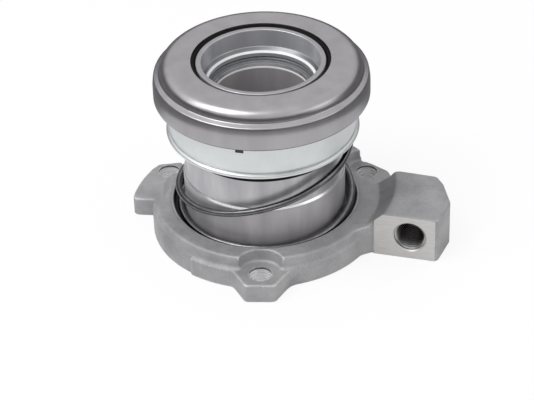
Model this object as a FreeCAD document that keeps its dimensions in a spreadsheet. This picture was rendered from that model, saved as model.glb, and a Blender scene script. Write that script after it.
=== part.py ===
import FreeCAD, Part
import math
import os
import re
import Sketcher

# Concentric slave cylinder: the hydraulic unit that stands round a gearbox input shaft and
# presses the clutch fingers. Frame: Z is the axis of the bore, Z = 0 the gearbox face, -Y the
# side that the fluid port opens to. Millimetres and degrees. It stands fully extended.

Vector = FreeCAD.Vector

# Driving dimensions. Most radii are built up outwards from the guide tube, and most heights
# upwards from the gearbox face, so that the pieces keep meeting when one size changes.
SIZES = {
    # guide tube
    "tube_r": 15.4,
    "tube_wall": 0.75,
    "tube_foot_w": 3.6,         # foot, out from the tube
    "tube_foot_t": 1.6,
    "tube_foot_round": 1.1,
    "tube_seat_fit": 0.02,
    "foot_fit": 0.1,
    "tube_over_ring": 0.95,     # tube above its snap ring
    "tube_lip_t": 0.28,         # wall of the turned lip at the tube's end
    "tube_lip_h": 0.95,
    "tube_seal_depth": 0.3,     # counterbore for the shaft seal
    # cylinder of the casting
    "chamber_w": 6.6,           # ring chamber between tube and bore
    "barrel_wall": 3.5,         # as cast, lower part
    "neck_cut": 0.6,            # machined off the upper part
    "neck_len": 11.8,
    "neck_slope": 0.8,
    "mouth_chamfer": 0.4,
    "cylinder_stand": 22.7,     # cylinder over the deck
    "wiper_depth": 1.3,
    "wiper_down": 2.8,          # seat of the wiper, from the mouth
    "wiper_h": 2.0,
    "wiper_lip": 0.6,
    "chamber_floor": 6.0,
    "gallery_w": 2.4,           # ring channel in the chamber floor, along the bore
    "gallery_depth": 2.2,
    # preload spring and the well that it stands in
    "wire_r": 1.05,
    "coil_gap": 0.75,           # between barrel and wire
    "well_gap": 0.8,            # between wire and the well's outer wall
    "well_round": 0.5,
    "well_roof": 1.0,           # metal between the duct and the well's floor
    "well_depth": 2.8,
    # flange
    "rim_w": 6.15,
    "rim_round": 0.9,
    "foot_out": 0.7,            # lower band of the flange, beyond the rim
    "foot_drop": 4.0,           # its top, below the deck
    "draft_h": 0.6,             # height of the slope between the two bands
    # bolts
    "cast_round": 0.6,          # edges of the ears and the block
    "bolt_out": 2.0,            # bolt circle beyond the rim
    "bolt_turn": 26.6,          # angle of the bolt beside the port block
    "bolt_count": 3,
    "bolt_hole_r": 3.5,
    "ear_drop": 4.1,            # seat of the bolt heads, below the deck
    "spot_r": 6.85,             # room for the bolt head, at the seat
    "spot_top_r": 7.4,          # the same at the deck
    # front ear: a trapezoid along the line of its bolt, on a web that blends into the flange
    "front_turn": -93.4,
    "front_root": 4.3,          # inside the rim
    "front_web": 2.2,           # end of the web, inside the rim
    "front_web_half": 13.2,
    "front_knee": 0.1,          # beyond the rim
    "front_knee_half": 8.8,
    "front_blend": 6.0,
    "front_tip": 6.0,           # beyond the bolt circle
    "front_tip_half": 4.6,
    "front_round": 1.6,
    # left ear: an arc with a flat end
    "left_ear_out": 5.85,       # beyond the bolt circle
    "left_ear_from": 147.9,
    "left_ear_sweep": 24.9,
    "left_ear_corner": 2.0,
    "left_slope": 28.0,         # slope of the step between deck and seat, from the vertical
    # lobe behind the right ear, at deck height
    "lobe_out": 4.5,
    "lobe_from": 34.0,
    "lobe_sweep": 10.0,
    # low shelf on the front left
    "shelf_out": 1.4,
    "shelf_drop": 4.2,
    "shelf_from": -130.6,
    "shelf_sweep": 28.0,
    # port block: its sides are square to a line turned by block_turn
    "block_turn": -16.1,
    "block_rise": 5.1,          # over the deck
    "block_round": 1.6,
    "scoop_low_out": 1.1,       # conical inner side of the block, at the deck
    "scoop_top_out": 6.4,       # the same at the block's top
    "port_out": 13.7,           # port axis beyond the rim, along the turned line
    "port_up": 0.25,            # port axis over the block's middle
    "port_face": -9.9,          # machined face of the port, square to the turned line
    "port_r": 4.46,             # bore of the M10 x 1 thread
    "port_mouth_r": 5.4,
    "port_mouth_depth": 0.95,
    "port_depth": 13.6,
    "port_point": 1.9,          # cone left by the drill
    # duct from the port to the chamber, drilled from the block's rear end
    "duct_turn": -9.0,
    "duct_r": 1.3,
    "duct_over": 0.1,           # duct over the gallery's floor
    "duct_ball_r": 1.75,
    "duct_ball_out": 5.0,       # centre of the closing ball, beyond the port's axis
    "duct_end_out": 11.0,
    "ball_press": 0.03,
    # snap ring of the tube: the end stop of the piston
    "snap_groove_depth": 0.4,
    "snap_ring_out": 0.45,
    "snap_ring_t": 1.1,
    "snap_gap_sweep": 16.0,
    "stop_gap": 0.05,
    # ring seals of the casting
    "tube_oring_w": 2.0,
    "tube_oring_up": 1.0,
    "tube_oring_h": 1.8,
    "tube_oring_round": 0.7,
    "base_groove_out": 0.55,    # beyond the well's wall
    "base_groove_w": 2.6,
    "base_groove_depth": 2.0,
    "base_oring_gap": 0.2,
    "base_oring_low": 0.1,
    "base_oring_round": 0.8,
    # shaft seal in the tube's foot
    "shaft_seal_low": 0.6,
    "shaft_seal_h": 6.0,
    "shaft_seal_t": 0.8,
    "shaft_seal_gap": 0.4,      # counterbore over the seal
    "shaft_seal_floor_w": 2.05,
    "shaft_lip_w": 3.65,        # lip, in from the tube's wall
    "shaft_lip_z": 3.4,
    "shaft_lip_root_w": 1.45,
    "shaft_lip_t": 1.3,
    "garter_w": 2.1,
    "garter_r": 0.45,
    # piston and its stroke
    "stroke": 12.0,
    "end_gap": 2.1,             # cup over the cylinder's mouth when fully pushed in
    "seal_rest": 4.5,           # seal over the chamber floor when fully pushed in
    "slide_fit": 0.05,
    "nose_w": 4.5,              # nose, out from the tube
    "nose_h": 3.9,
    "nose_bore_gap": 0.25,
    "nose_bore_depth": 0.5,
    "nose_chamfer": 0.4,
    "clip_depth": 0.7,
    "clip_low": 1.9,            # above the piston's shoulder
    "clip_t": 0.9,
    "clip_out": 1.0,
    "clip_fit": 0.03,
    "clip_gap_sweep": 12.0,
    "clip_turn": 60.0,
    "piston_groove_depth": 0.5,
    "piston_groove_w": 1.6,
    "piston_groove_pitch": 5.6,
    "piston_groove_low": 4.2,
    # lip seal
    "seal_fit": 0.02,
    "seal_h": 5.2,
    "lip_w": 2.3,
    "lip_depth": 2.9,
    "lip_chamfer": 0.6,
    "expander_recess": 0.5,
    # spring cup
    "cup_gap": 0.1,             # round the spring
    "cup_t": 0.75,
    "cup_hole_fit": 0.2,
    "cup_skirt": 10.9,          # from the web down to the rolled lip
    "cup_lip_out": 0.9,
    "cup_round": 1.4,
    "cup_lip_round": 0.5,
    "window_from": -107.3,
    "window_sweep": 5.6,
    "window_low": 1.8,          # under the web
    "window_high": 0.2,
    "window_count": 3,
    "tongue_h": 2.2,            # above the web
    "tongue_reach": 2.0,
    "tongue_t": 0.7,
    # disc spring under the clip
    "disc_spring_w": 1.4,
    "disc_spring_t": 0.5,
    "disc_spring_fit": 0.1,
    # bearing, heights from its seat on the cup
    "ball_r": 3.175,
    "ball_count": 16,
    "race_play": 0.125,
    "race_in": 2.7,             # ball circle, in from the inner ring's flange
    "race_up": 2.3,             # ball circle, over the shield
    "flange_play": 0.15,        # between the inner ring's flange and the cup's tongues
    "inner_flange_t": 1.5,
    "inner_cone_w": 1.1,
    "inner_shoulder_w": 3.0,
    "inner_shoulder_up": 0.4,
    "inner_neck_w": 2.6,
    "inner_neck_h": 2.0,
    "inner_neck_len": 4.0,
    "inner_wall": 1.7,
    "inner_chamfer": 0.3,
    "recess_gap": 0.3,          # round the disc spring
    "ledge_gap": 0.25,          # over the piston's nose
    "ledge_t": 0.8,
    "ledge_rise": 1.1,          # slope of the ledge
    "ledge_w": 2.3,
    "outer_over": 0.5,          # contact face over the inner ring
    "outer_hole_w": 1.5,
    "outer_round": 2.1,
    "outer_neck_w": 1.65,       # contact face's side, in from the ledge
    "outer_neck_drop": 0.2,
    "outer_ledge_h": 0.45,
    "outer_ledge_w": 0.4,
    "outer_ledge_len": 1.55,
    "outer_rim_wall": 3.6,
    "outer_low": 0.7,
    "outer_low_round": 0.5,
    "outer_web_gap": 0.1,
    "outer_race_lip": 0.9,
    "cup_clear": 0.7,           # between the spinning ring and the cup
    "shield_gap": 0.4,
    "shield_t": 0.8,
    "shield_clear": 1.0,
    "front_seal_up": 0.2,
    "front_seal_down": 0.7,
    "front_seal_fit": 0.05,
    "front_seal_lip_h": 0.9,
    "cage_gap": 0.1,            # between ball and cage
}

# Corner lists of the outlines that are not turned, as seen from above. Round the flange a
# corner is its distance beyond the rim and its angle.
ROUND_OUTLINES = {
    # rear end of the left ear
    "left_ear": ((-2.3, 147.0), (2.2, 136.0), (7.5, 144.0), (7.83, 147.9), (1.58, 167.5)),
    # right ear, up to the block
    "right_ear": ((-1.6, 29.7), (3.4, 36.5), (5.3, 34.2), (6.1, 31.2), (7.1, 27.2),
                  (8.4, 22.8), (8.53, 11.8), (8.31, 1.3), (-1.3, 0.0)),
    # step from the deck down to the left ear
    "left_step": ((2.39, 144.3), (-4.44, 172.6), (-3.1, -179.3), (-0.81, -174.0),
                  (10.84, -175.5), (15.69, 154.4)),
    # step from the deck down to the right ear
    "right_step": ((-3.0, 12.0), (11.19, 8.3), (20.19, 34.0), (-2.38, 34.0), (-2.7, 23.5)),
    # web between the flange and the block's front
    "block_web": ((-2.0, -38.7), (-0.47, -39.2), (1.59, -33.4), (3.23, -29.9), (2.65, -18.4)),
}

# Port block, in its own turned frame: distance beyond the rim, and along the face.
BLOCK = ((-2.3, -8.9), (2.4, -9.2), (2.4, -9.9), (22.5, -9.9), (24.3, 1.6), (20.2, 10.9),
         (17.5, 14.5), (5.2, 15.0), (2.6, 13.9), (-2.3, 13.9))

# Section of the ball cage: radius and height from the balls' centres, in ball radii.
CAGE = ((-1.26, 0.567), (-0.913, 0.346), (-0.504, -0.535), (0.252, -0.535), (0.567, -0.189),
        (0.315, 0.724), (0.0, 0.945), (-1.26, 0.945))

# Rise of the spring's wire: angle round the axis and share of the way from seat to seat. The
# end turns lie flat, the turn in the well rises at the back right, the next ones at the front.
SPRING_RISE = ((-150, 0.0), (60, 0.0), (120, 0.016), (165, 0.075), (205, 0.142), (270, 0.148),
               (345, 0.172), (402, 0.254), (433, 0.342), (463, 0.441), (497, 0.545),
               (513, 0.574), (570, 0.72), (640, 0.9), (690, 0.992), (720, 1.0), (930, 1.0))
SPRING_STEP = 15

# Sizes that follow from the driving dimensions.
DERIVED = {
    # radii
    "tube_in": "tube_r - tube_wall",
    "seal_seat_r": "tube_in + tube_seal_depth",
    "tube_foot_r": "tube_r + tube_foot_w",
    "bore_r": "tube_r + chamber_w",
    "barrel_r": "bore_r + barrel_wall",
    "neck_r": "barrel_r - neck_cut",
    "wiper_seat_r": "bore_r + wiper_depth",
    "gallery_r": "bore_r - gallery_w",
    "coil_r": "barrel_r + coil_gap + wire_r",
    "well_r": "coil_r + wire_r + well_gap",
    "rim_r": "well_r + rim_w",
    "bolt_circle_r": "rim_r + bolt_out",
    "port_u": "rim_r + port_out",
    "duct_ball_at": "port_u + duct_ball_out",
    "snap_groove_r": "tube_r - snap_groove_depth",
    "snap_ring_r": "tube_r + snap_ring_out",
    "tube_oring_r": "tube_r + tube_oring_w",
    "base_groove_in": "well_r + base_groove_out",
    "shaft_seal_in": "tube_in - shaft_seal_floor_w",
    "shaft_lip_r": "tube_in - shaft_lip_w",
    "shaft_lip_root_r": "tube_in - shaft_lip_root_w",
    "garter_mean_r": "tube_in - garter_w",
    "nose_r": "tube_r + nose_w",
    "nose_bore_r": "snap_ring_r + nose_bore_gap",
    "clip_seat_r": "nose_r - clip_depth",
    "cup_in": "coil_r + wire_r + cup_gap",
    "cup_r": "cup_in + cup_t",
    "cup_lip_r": "cup_r + cup_lip_out",
    "disc_spring_r": "nose_r + disc_spring_w",
    "inner_flange_r": "cup_in - flange_play",
    "inner_cone_r": "inner_flange_r - inner_cone_w",
    "race_r": "inner_flange_r - race_in",
    "race_groove_r": "ball_r + race_play",
    "inner_shoulder_r": "race_r - inner_shoulder_w",
    "inner_neck_r": "inner_shoulder_r - inner_neck_w",
    "inner_bore_r": "inner_neck_r - inner_wall",
    "inner_recess_r": "disc_spring_r + recess_gap",
    "outer_hole_r": "inner_neck_r + outer_hole_w",
    "shield_seat_r": "cup_r + cup_clear",
    "outer_r": "shield_seat_r + outer_rim_wall",
    "outer_ledge_r": "outer_r - outer_ledge_w",
    "outer_face_r": "outer_ledge_r - outer_neck_w",
    "outer_wall_in": "race_r + race_groove_r",
    # heights
    "gallery_floor": "chamber_floor - gallery_depth",
    "duct_z": "gallery_floor + duct_over + duct_r",
    "well_floor": "duct_z + duct_r + well_roof",
    "flange_h": "well_floor + well_depth",
    "ear_h": "flange_h - ear_drop",
    "foot_step": "flange_h - foot_drop",
    "block_h": "flange_h + block_rise",
    "port_z": "block_h / 2 + port_up",
    "cylinder_h": "flange_h + cylinder_stand",
    "barrel_h": "cylinder_h - neck_len",
    "wiper_low": "cylinder_h - wiper_down",
    "tube_oring_low": "tube_foot_t + tube_oring_up",
    "shoulder": "cylinder_h + stroke + end_gap",        # cup's web rests here on the piston
    "seat": "shoulder + cup_t",                         # bearing rests here on the web
    "piston_low": "chamber_floor + seal_rest + seal_h + stroke",
    "snap_low": "shoulder - nose_bore_depth + stop_gap",
    "tube_top": "snap_low + snap_ring_t + tube_over_ring + tube_lip_h",
    "skirt_low": "shoulder - cup_skirt",
    "clip_z": "shoulder + clip_low",
    "shield_seat_z": "tongue_h + shield_gap + shield_t",
    "race_z": "shield_seat_z + race_up",
    "race_height": "seat + race_z",
    "inner_shoulder_z": "race_z + inner_shoulder_up",
    "inner_neck_z": "inner_shoulder_z + inner_neck_h",
    "inner_top": "inner_neck_z + inner_neck_len",
    "ledge_under": "nose_h - cup_t + ledge_gap",
    "ledge_z": "ledge_under + ledge_t",
    "outer_top": "inner_top + outer_over",
    "outer_web_z": "race_z + race_groove_r + outer_web_gap",
    "outer_neck_z": "outer_web_z - outer_neck_drop",
    "outer_ledge_z": "outer_neck_z - outer_ledge_h",
    "outer_wall_z": "outer_ledge_z - outer_ledge_len",
    "front_seal_low": "outer_web_z + front_seal_up",
}

doc = FreeCAD.newDocument("concentric_slave_cylinder")
sheet = doc.addObject("Spreadsheet::Sheet", "sizes")


def fill_sheet():
    values = dict(SIZES)
    corner_lists = dict(ROUND_OUTLINES, block=BLOCK, cage=CAGE)
    for name, corners in corner_lists.items():
        for place_in_list, (first, second) in enumerate(corners, 1):
            values["%s_a%d" % (name, place_in_list)] = first
            values["%s_b%d" % (name, place_in_list)] = second
    for row, (name, value) in enumerate(values.items(), 1):
        sheet.set("A%d" % row, name)
        sheet.set("B%d" % row, str(value))
        sheet.setAlias("B%d" % row, name)
    doc.recompute()
    return set(values)


ALIASES = fill_sheet()


def bound(text):
    """Expression text with each size pointed at its cell and each derived height spelled out."""
    def word(found):
        name = found.group(0)
        if name in DERIVED:
            return "(" + bound(DERIVED[name]) + ")"
        return "sizes." + name if name in ALIASES else name
    return re.sub(r"[a-z][a-z_0-9]*", word, text)


def read_back(texts):
    """Values of sizes or formulas, read through a small object that is bound to them."""
    holder = doc.addObject("App::FeaturePython", "read_back")
    for index, text in enumerate(texts):
        holder.addProperty("App::PropertyFloat", "value_%d" % index)
        holder.setExpression("value_%d" % index, bound(text))
    doc.recompute()
    return [getattr(holder, "value_%d" % index) for index in range(len(texts))]


# drawing helpers

def new_body(label):
    body = doc.addObject("PartDesign::Body", label)
    body.Label = label
    return body


def origin_part(body, role):
    return next(item for item in body.Origin.OriginFeatures if item.Role == role)


def place(feature, body, role, turn=None, base=()):
    """Attach to an origin plane, turned about the Z axis and shifted by (word, text) pairs."""
    feature.AttachmentSupport = (origin_part(body, role), [""])
    feature.MapMode = "FlatFace"
    if turn:
        axis = Vector(0, 1, 0) if role == "XZ_Plane" else Vector(0, 0, 1)
        feature.AttachmentOffset = FreeCAD.Placement(Vector(), FreeCAD.Rotation(axis, 1))
        feature.setExpression("AttachmentOffset.Rotation.Angle", bound(turn))
    for word, text in base:
        feature.setExpression("AttachmentOffset.Base." + word, bound(text))


def polygon(sketch, corners):
    count = len(corners)
    around = [Vector(math.cos(math.tau * i / count), math.sin(math.tau * i / count), 0)
              for i in range(count)]
    for i in range(count):
        sketch.addGeometry(Part.LineSegment(around[i], around[(i + 1) % count]), False)
    for i in range(count):
        sketch.addConstraint(Sketcher.Constraint("Coincident", i, 2, (i + 1) % count, 1))
    for i, (across, along) in enumerate(corners):
        for kind, start, text in (("DistanceX", around[i].x, across),
                                  ("DistanceY", around[i].y, along)):
            rule = sketch.addConstraint(Sketcher.Constraint(kind, -1, 1, i, 1, start))
            sketch.setExpression("Constraints[%d]" % rule, bound(text))


def circle(sketch, across, along, radius):
    sketch.addGeometry(Part.Circle(Vector(1, 1, 0), Vector(0, 0, 1), 1), False)
    for kind, text in (("DistanceX", across), ("DistanceY", along)):
        rule = sketch.addConstraint(Sketcher.Constraint(kind, -1, 1, 0, 3, 1))
        sketch.setExpression("Constraints[%d]" % rule, bound(text))
    rule = sketch.addConstraint(Sketcher.Constraint("Radius", 0, 1))
    sketch.setExpression("Constraints[%d]" % rule, bound(radius))


def round_outline(name):
    corners = []
    for i in range(1, len(ROUND_OUTLINES[name]) + 1):
        reach = "(rim_r + %s_a%d)" % (name, i)
        angle = "%s_b%d" % (name, i)
        corners.append(("%s * cos(%s)" % (reach, angle), "%s * sin(%s)" % (reach, angle)))
    return corners


def finish_feature(body, feature, added):
    """Recompute, and stop if the feature did not add or remove anything."""
    before = body_volume(body, feature)
    doc.recompute()
    change = feature.Shape.Volume - before
    if abs(change) < 1e-6 or (change > 0) != added:
        raise RuntimeError("%s.%s changes nothing" % (body.Label, feature.Label))
    return feature


def body_volume(body, feature):
    base = feature.BaseFeature if hasattr(feature, "BaseFeature") else None
    return base.Shape.Volume if base and not base.Shape.isNull() else 0.0


def spin(body, name, corners, cut=False, turn=None, sweep=None, plane="XZ_Plane", base=(),
         draw=polygon):
    """Revolve a section about the vertical line of its sketch."""
    sketch = body.newObject("Sketcher::SketchObject", name + "_section")
    place(sketch, body, plane, turn, base)
    draw(sketch, corners) if draw is polygon else draw(sketch, *corners)
    feature = body.newObject("PartDesign::Groove" if cut else "PartDesign::Revolution", name)
    feature.Profile = sketch
    feature.ReferenceAxis = (sketch, ["V_Axis"])
    if sweep:
        feature.setExpression("Angle", bound(sweep))
    finish_feature(body, feature, not cut)
    return sketch


def pad(body, name, corners, height, turn=None):
    sketch = body.newObject("Sketcher::SketchObject", name + "_outline")
    place(sketch, body, "XY_Plane", turn)
    polygon(sketch, corners)
    feature = body.newObject("PartDesign::Pad", name)
    feature.Profile = sketch
    feature.setExpression("Length", bound(height))
    finish_feature(body, feature, True)
    return sketch


def step_down(body, name, corners, top, depth, taper=None):
    """Pocket from a level downwards, its walls sloping in by the taper."""
    sketch = body.newObject("Sketcher::SketchObject", name + "_outline")
    place(sketch, body, "XY_Plane", base=(("z", top),))
    polygon(sketch, corners)
    feature = body.newObject("PartDesign::Pocket", name)
    feature.Profile = sketch
    feature.setExpression("Length", bound(depth))
    if taper:
        feature.setExpression("TaperAngle", "-" + bound(taper))
    return finish_feature(body, feature, False)


def pattern(body, name, features, count):
    """Repeat features round the axis."""
    feature = body.newObject("PartDesign::PolarPattern", name)
    feature.Originals = features
    feature.Axis = (origin_part(body, "Z_Axis"), [""])
    feature.Angle = 360
    feature.setExpression("Occurrences", bound(count))
    body.Tip = feature
    doc.recompute()
    return feature


def ring_edges(shape, sketch, picked):
    """Names of the circular edges that the picked corners of a section leave."""
    points = [sketch.Geometry[i].StartPoint for i in picked]
    names = []
    for index, edge in enumerate(shape.Edges, 1):
        if not isinstance(edge.Curve, Part.Circle):
            continue
        curve = edge.Curve
        if any(abs(curve.Radius - abs(p.x)) < 1e-4 and abs(curve.Center.z - p.y) < 1e-4
               for p in points):
            names.append("Edge%d" % index)
    return names


def upright_edges(shape, sketch, picked):
    """Names of the vertical edges that the picked corners of an outline leave."""
    points = [sketch.Placement.multVec(sketch.Geometry[i].StartPoint) for i in picked]
    return uprights_at(shape, points)


def uprights_at(shape, points):
    """Names of the vertical edges over or under those points."""
    names = []
    for index, edge in enumerate(shape.Edges, 1):
        ends = [vertex.Point for vertex in edge.Vertexes]
        if len(ends) != 2 or abs(ends[0].z - ends[1].z) < 1:
            continue
        if any(all(math.hypot(end.x - p.x, end.y - p.y) < 1e-3 for end in ends)
               for p in points):
            names.append("Edge%d" % index)
    return names


def level_edges(shape, height, reach):
    """Names of the level edges at a height that lie at least that far from the axis."""
    names = []
    for index, edge in enumerate(shape.Edges, 1):
        box = edge.BoundBox
        if max(abs(box.ZMin - height), abs(box.ZMax - height)) > 1e-4:
            continue
        ends = [vertex.Point for vertex in edge.Vertexes]
        if all(math.hypot(end.x, end.y) > reach - 1e-3 for end in ends):
            names.append("Edge%d" % index)
    return names


def soften(body, name, edges, radius, kind="PartDesign::Fillet"):
    """Round or bevel the named edges of the last feature."""
    if not edges:
        raise RuntimeError("%s.%s finds no edge" % (body.Label, name))
    feature = body.newObject(kind, name)
    feature.Base = (body.Tip if body.Tip != feature else feature.BaseFeature, edges)
    size = "Radius" if kind.endswith("Fillet") else "Size"
    feature.setExpression(size, bound(radius))
    body.Tip = feature
    doc.recompute()
    return feature


def round_rings(body, name, sketch, picked, radius):
    return soften(body, name, ring_edges(body.Tip.Shape, sketch, picked), radius)


def bevel_rings(body, name, sketch, picked, size):
    edges = ring_edges(body.Tip.Shape, sketch, picked)
    return soften(body, name, edges, size, "PartDesign::Chamfer")


def round_uprights(body, name, sketch, picked, radius):
    return soften(body, name, upright_edges(body.Tip.Shape, sketch, picked), radius)


# casting

def flange_and_cylinder(body):
    hole_r = "tube_r + tube_seat_fit"
    section = [
        ("tube_foot_r + foot_fit", "0"), ("rim_r + foot_out", "0"),
        ("rim_r + foot_out", "foot_step"),
        ("rim_r", "foot_step + draft_h"), ("rim_r", "flange_h"), ("well_r", "flange_h"),
        ("well_r", "well_floor"), ("barrel_r", "well_floor"), ("barrel_r", "barrel_h"),
        ("neck_r", "barrel_h + neck_slope"), ("neck_r", "cylinder_h"), ("bore_r", "cylinder_h"),
        ("bore_r", "wiper_low + wiper_h"), ("wiper_seat_r", "wiper_low + wiper_h"),
        ("wiper_seat_r", "wiper_low"), ("bore_r", "wiper_low"), ("bore_r", "gallery_floor"),
        ("gallery_r", "gallery_floor"), ("gallery_r", "chamber_floor"),
        (hole_r, "chamber_floor"), (hole_r, "tube_oring_low + tube_oring_h"),
        ("tube_oring_r", "tube_oring_low + tube_oring_h"), ("tube_oring_r", "tube_oring_low"),
        (hole_r, "tube_oring_low"), (hole_r, "tube_foot_t"),
        ("tube_foot_r + foot_fit", "tube_foot_t")]
    sketch = spin(body, "flange", section)
    round_rings(body, "rim_edge", sketch, [4], "rim_round")
    round_rings(body, "well_corners", sketch, [6, 7], "well_round")
    bevel_rings(body, "mouth_edges", sketch, [10], "mouth_chamfer")


def ears(body):
    root = "rim_r - front_root"
    knee = "rim_r + front_knee"
    tip = "bolt_circle_r + front_tip"
    web = "rim_r - front_web"
    front = pad(body, "front_ear", [
        (root, "-front_web_half"), (web, "-front_web_half"), (knee, "-front_knee_half"),
        (tip, "-front_tip_half"), (tip, "front_tip_half"), (knee, "front_knee_half"),
        (web, "front_web_half"), (root, "front_web_half")], "ear_h", "front_turn")
    round_uprights(body, "front_ear_corners", front, [3, 4], "front_round")
    round_uprights(body, "front_ear_blends", front, [2, 5], "front_blend")
    spin(body, "left_ear_arc", box_section(
        "well_r", "bolt_circle_r + left_ear_out", "0", "ear_h"),
        turn="left_ear_from", sweep="left_ear_sweep")
    pad(body, "left_ear_end", round_outline("left_ear"), "ear_h")
    reach, last = "(bolt_circle_r + left_ear_out)", "(left_ear_from + left_ear_sweep)"
    x, y = read_back(["%s * cos(%s)" % (reach, last), "%s * sin(%s)" % (reach, last)])
    soften(body, "left_ear_corner_edge", uprights_at(
        body.Tip.Shape, [FreeCAD.Vector(x, y, 0)]), "left_ear_corner")
    pad(body, "right_ear", round_outline("right_ear"), "ear_h")
    lobe = spin(body, "rear_lobe", box_section("well_r", "rim_r + lobe_out", "0", "flange_h"),
                turn="lobe_from", sweep="lobe_sweep")
    round_rings(body, "lobe_edge", lobe, [2], "rim_round")
    spin(body, "front_shelf", box_section(
        "well_r", "rim_r + shelf_out", "0", "flange_h - shelf_drop"),
        turn="shelf_from", sweep="shelf_sweep")


def port_block(body):
    pad(body, "block_web", round_outline("block_web"), "flange_h")
    block_outline = [("rim_r + block_a%d" % i, "block_b%d" % i)
                     for i in range(1, len(BLOCK) + 1)]
    block = pad(body, "port_block", block_outline, "block_h", "block_turn")
    round_uprights(body, "block_corners", block, [3, 4, 5, 6, 7], "block_round")
    over = "block_h + block_round"
    top_r = "rim_r + scoop_top_out"
    spin(body, "block_scoop", [
        ("well_r", "flange_h"), ("rim_r + scoop_low_out", "flange_h"), (top_r, "block_h"),
        (top_r, over), ("well_r", over)], cut=True)
    height, rim = read_back(["block_h", "rim_r"])
    soften(body, "block_top", level_edges(body.Tip.Shape, height, rim), "cast_round")


def port_and_duct(body):
    axis_point = (("x", "port_u * cos(block_turn)"), ("y", "port_u * sin(block_turn)"),
                  ("z", "port_z"))
    bottom = "port_face + port_depth"
    spin(body, "port", [
        ("0", "port_face - port_mouth_depth"),
        ("port_mouth_r", "port_face - port_mouth_depth"), ("port_mouth_r", "port_face"),
        ("port_r", "port_face + port_mouth_depth"), ("port_r", bottom),
        ("0", bottom + " + port_point")],
        cut=True, plane="XY_Plane", base=axis_point, turn="block_turn")
    seat_r = "duct_ball_r - ball_press"
    start = "duct_ball_at - duct_ball_r"
    end = "port_u + duct_end_out"
    spin(body, "duct", [
        ("0", "gallery_r + duct_r"), ("duct_r", "gallery_r + duct_r"), ("duct_r", start),
        (seat_r, start), (seat_r, end), ("0", end)],
        cut=True, plane="XY_Plane", base=(("z", "duct_z"),), turn="duct_turn - 90")


def bolt_places(body):
    step_down(body, "left_step", round_outline("left_step"), "flange_h", "flange_h - ear_h",
              "left_slope")
    step_down(body, "right_step", round_outline("right_step"), "flange_h", "flange_h - ear_h")
    centre = (("x", "bolt_circle_r * cos(bolt_turn)"), ("y", "bolt_circle_r * sin(bolt_turn)"))
    spot = body.newObject("PartDesign::SubtractiveCone", "spot_face")
    place(spot, body, "XY_Plane", base=centre + (("z", "ear_h"),))
    for word, text in (("Radius1", "spot_r"), ("Radius2", "spot_top_r"),
                       ("Height", "flange_h - ear_h")):
        spot.setExpression(word, bound(text))
    body.Tip = spot
    finish_feature(body, spot, False)
    hole = body.newObject("PartDesign::SubtractiveCylinder", "bolt_hole")
    place(hole, body, "XY_Plane", base=centre)
    hole.setExpression("Radius", bound("bolt_hole_r"))
    hole.setExpression("Height", bound("flange_h"))
    body.Tip = hole
    finish_feature(body, hole, False)
    pattern(body, "bolt_places", [spot, hole], "bolt_count")


def base_groove(body):
    spin(body, "base_groove", box_section(
        "base_groove_in", "base_groove_in + base_groove_w", "0", "base_groove_depth"),
        cut=True)


def housing():
    body = new_body("housing")
    flange_and_cylinder(body)
    ears(body)
    port_block(body)
    bolt_places(body)
    port_and_duct(body)
    base_groove(body)
    return body


# pieces that stay with the casting

def simple_ring(label, section, rounds=(), sweep=None, turn=None):
    """A turned ring with some of its corners rounded."""
    body = new_body(label)
    sketch = spin(body, "ring", section, sweep=sweep, turn=turn)
    for number_of, (picked, radius) in enumerate(rounds):
        round_rings(body, "round_%d" % number_of, sketch, picked, radius)
    return body


def box_section(inner, outer, low, high):
    return [(inner, low), (outer, low), (outer, high), (inner, high)]


def guide_tube():
    lip_r = "tube_r - tube_lip_t"
    lip_low = "tube_top - tube_lip_h"
    groove_top = "snap_low + snap_ring_t"
    seat_top = "shaft_seal_low + shaft_seal_h + shaft_seal_gap"
    return simple_ring("guide_tube", [
        ("seal_seat_r", "0"), ("tube_foot_r", "0"), ("tube_foot_r", "tube_foot_t"),
        ("tube_r", "tube_foot_t"), ("tube_r", "snap_low"), ("snap_groove_r", "snap_low"),
        ("snap_groove_r", groove_top), ("tube_r", groove_top), ("tube_r", "tube_top"),
        (lip_r, "tube_top"), (lip_r, lip_low), ("tube_in", lip_low), ("tube_in", seat_top),
        ("seal_seat_r", seat_top)],
        [([0], "tube_foot_round")])


def fixed_rings():
    simple_ring("tube_snap_ring", box_section(
        "snap_groove_r", "snap_ring_r", "snap_low", "snap_low + snap_ring_t"),
        sweep="360 - snap_gap_sweep", turn="90")
    simple_ring("tube_oring", box_section(
        "tube_r + seal_fit", "tube_oring_r", "tube_oring_low",
        "tube_oring_low + tube_oring_h"),
        [([0, 1, 2, 3], "tube_oring_round")])
    simple_ring("base_oring", box_section(
        "base_groove_in + base_oring_gap", "base_groove_in + base_groove_w - base_oring_gap",
        "base_oring_low", "base_groove_depth"), [([0, 1, 2, 3], "base_oring_round")])
    simple_ring("cylinder_wiper", [
        ("bore_r - seal_fit", "wiper_low"), ("wiper_seat_r", "wiper_low"),
        ("wiper_seat_r", "wiper_low + wiper_h"), ("bore_r", "wiper_low + wiper_h"),
        ("bore_r - seal_fit", "wiper_low + wiper_h - wiper_lip")])


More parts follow.
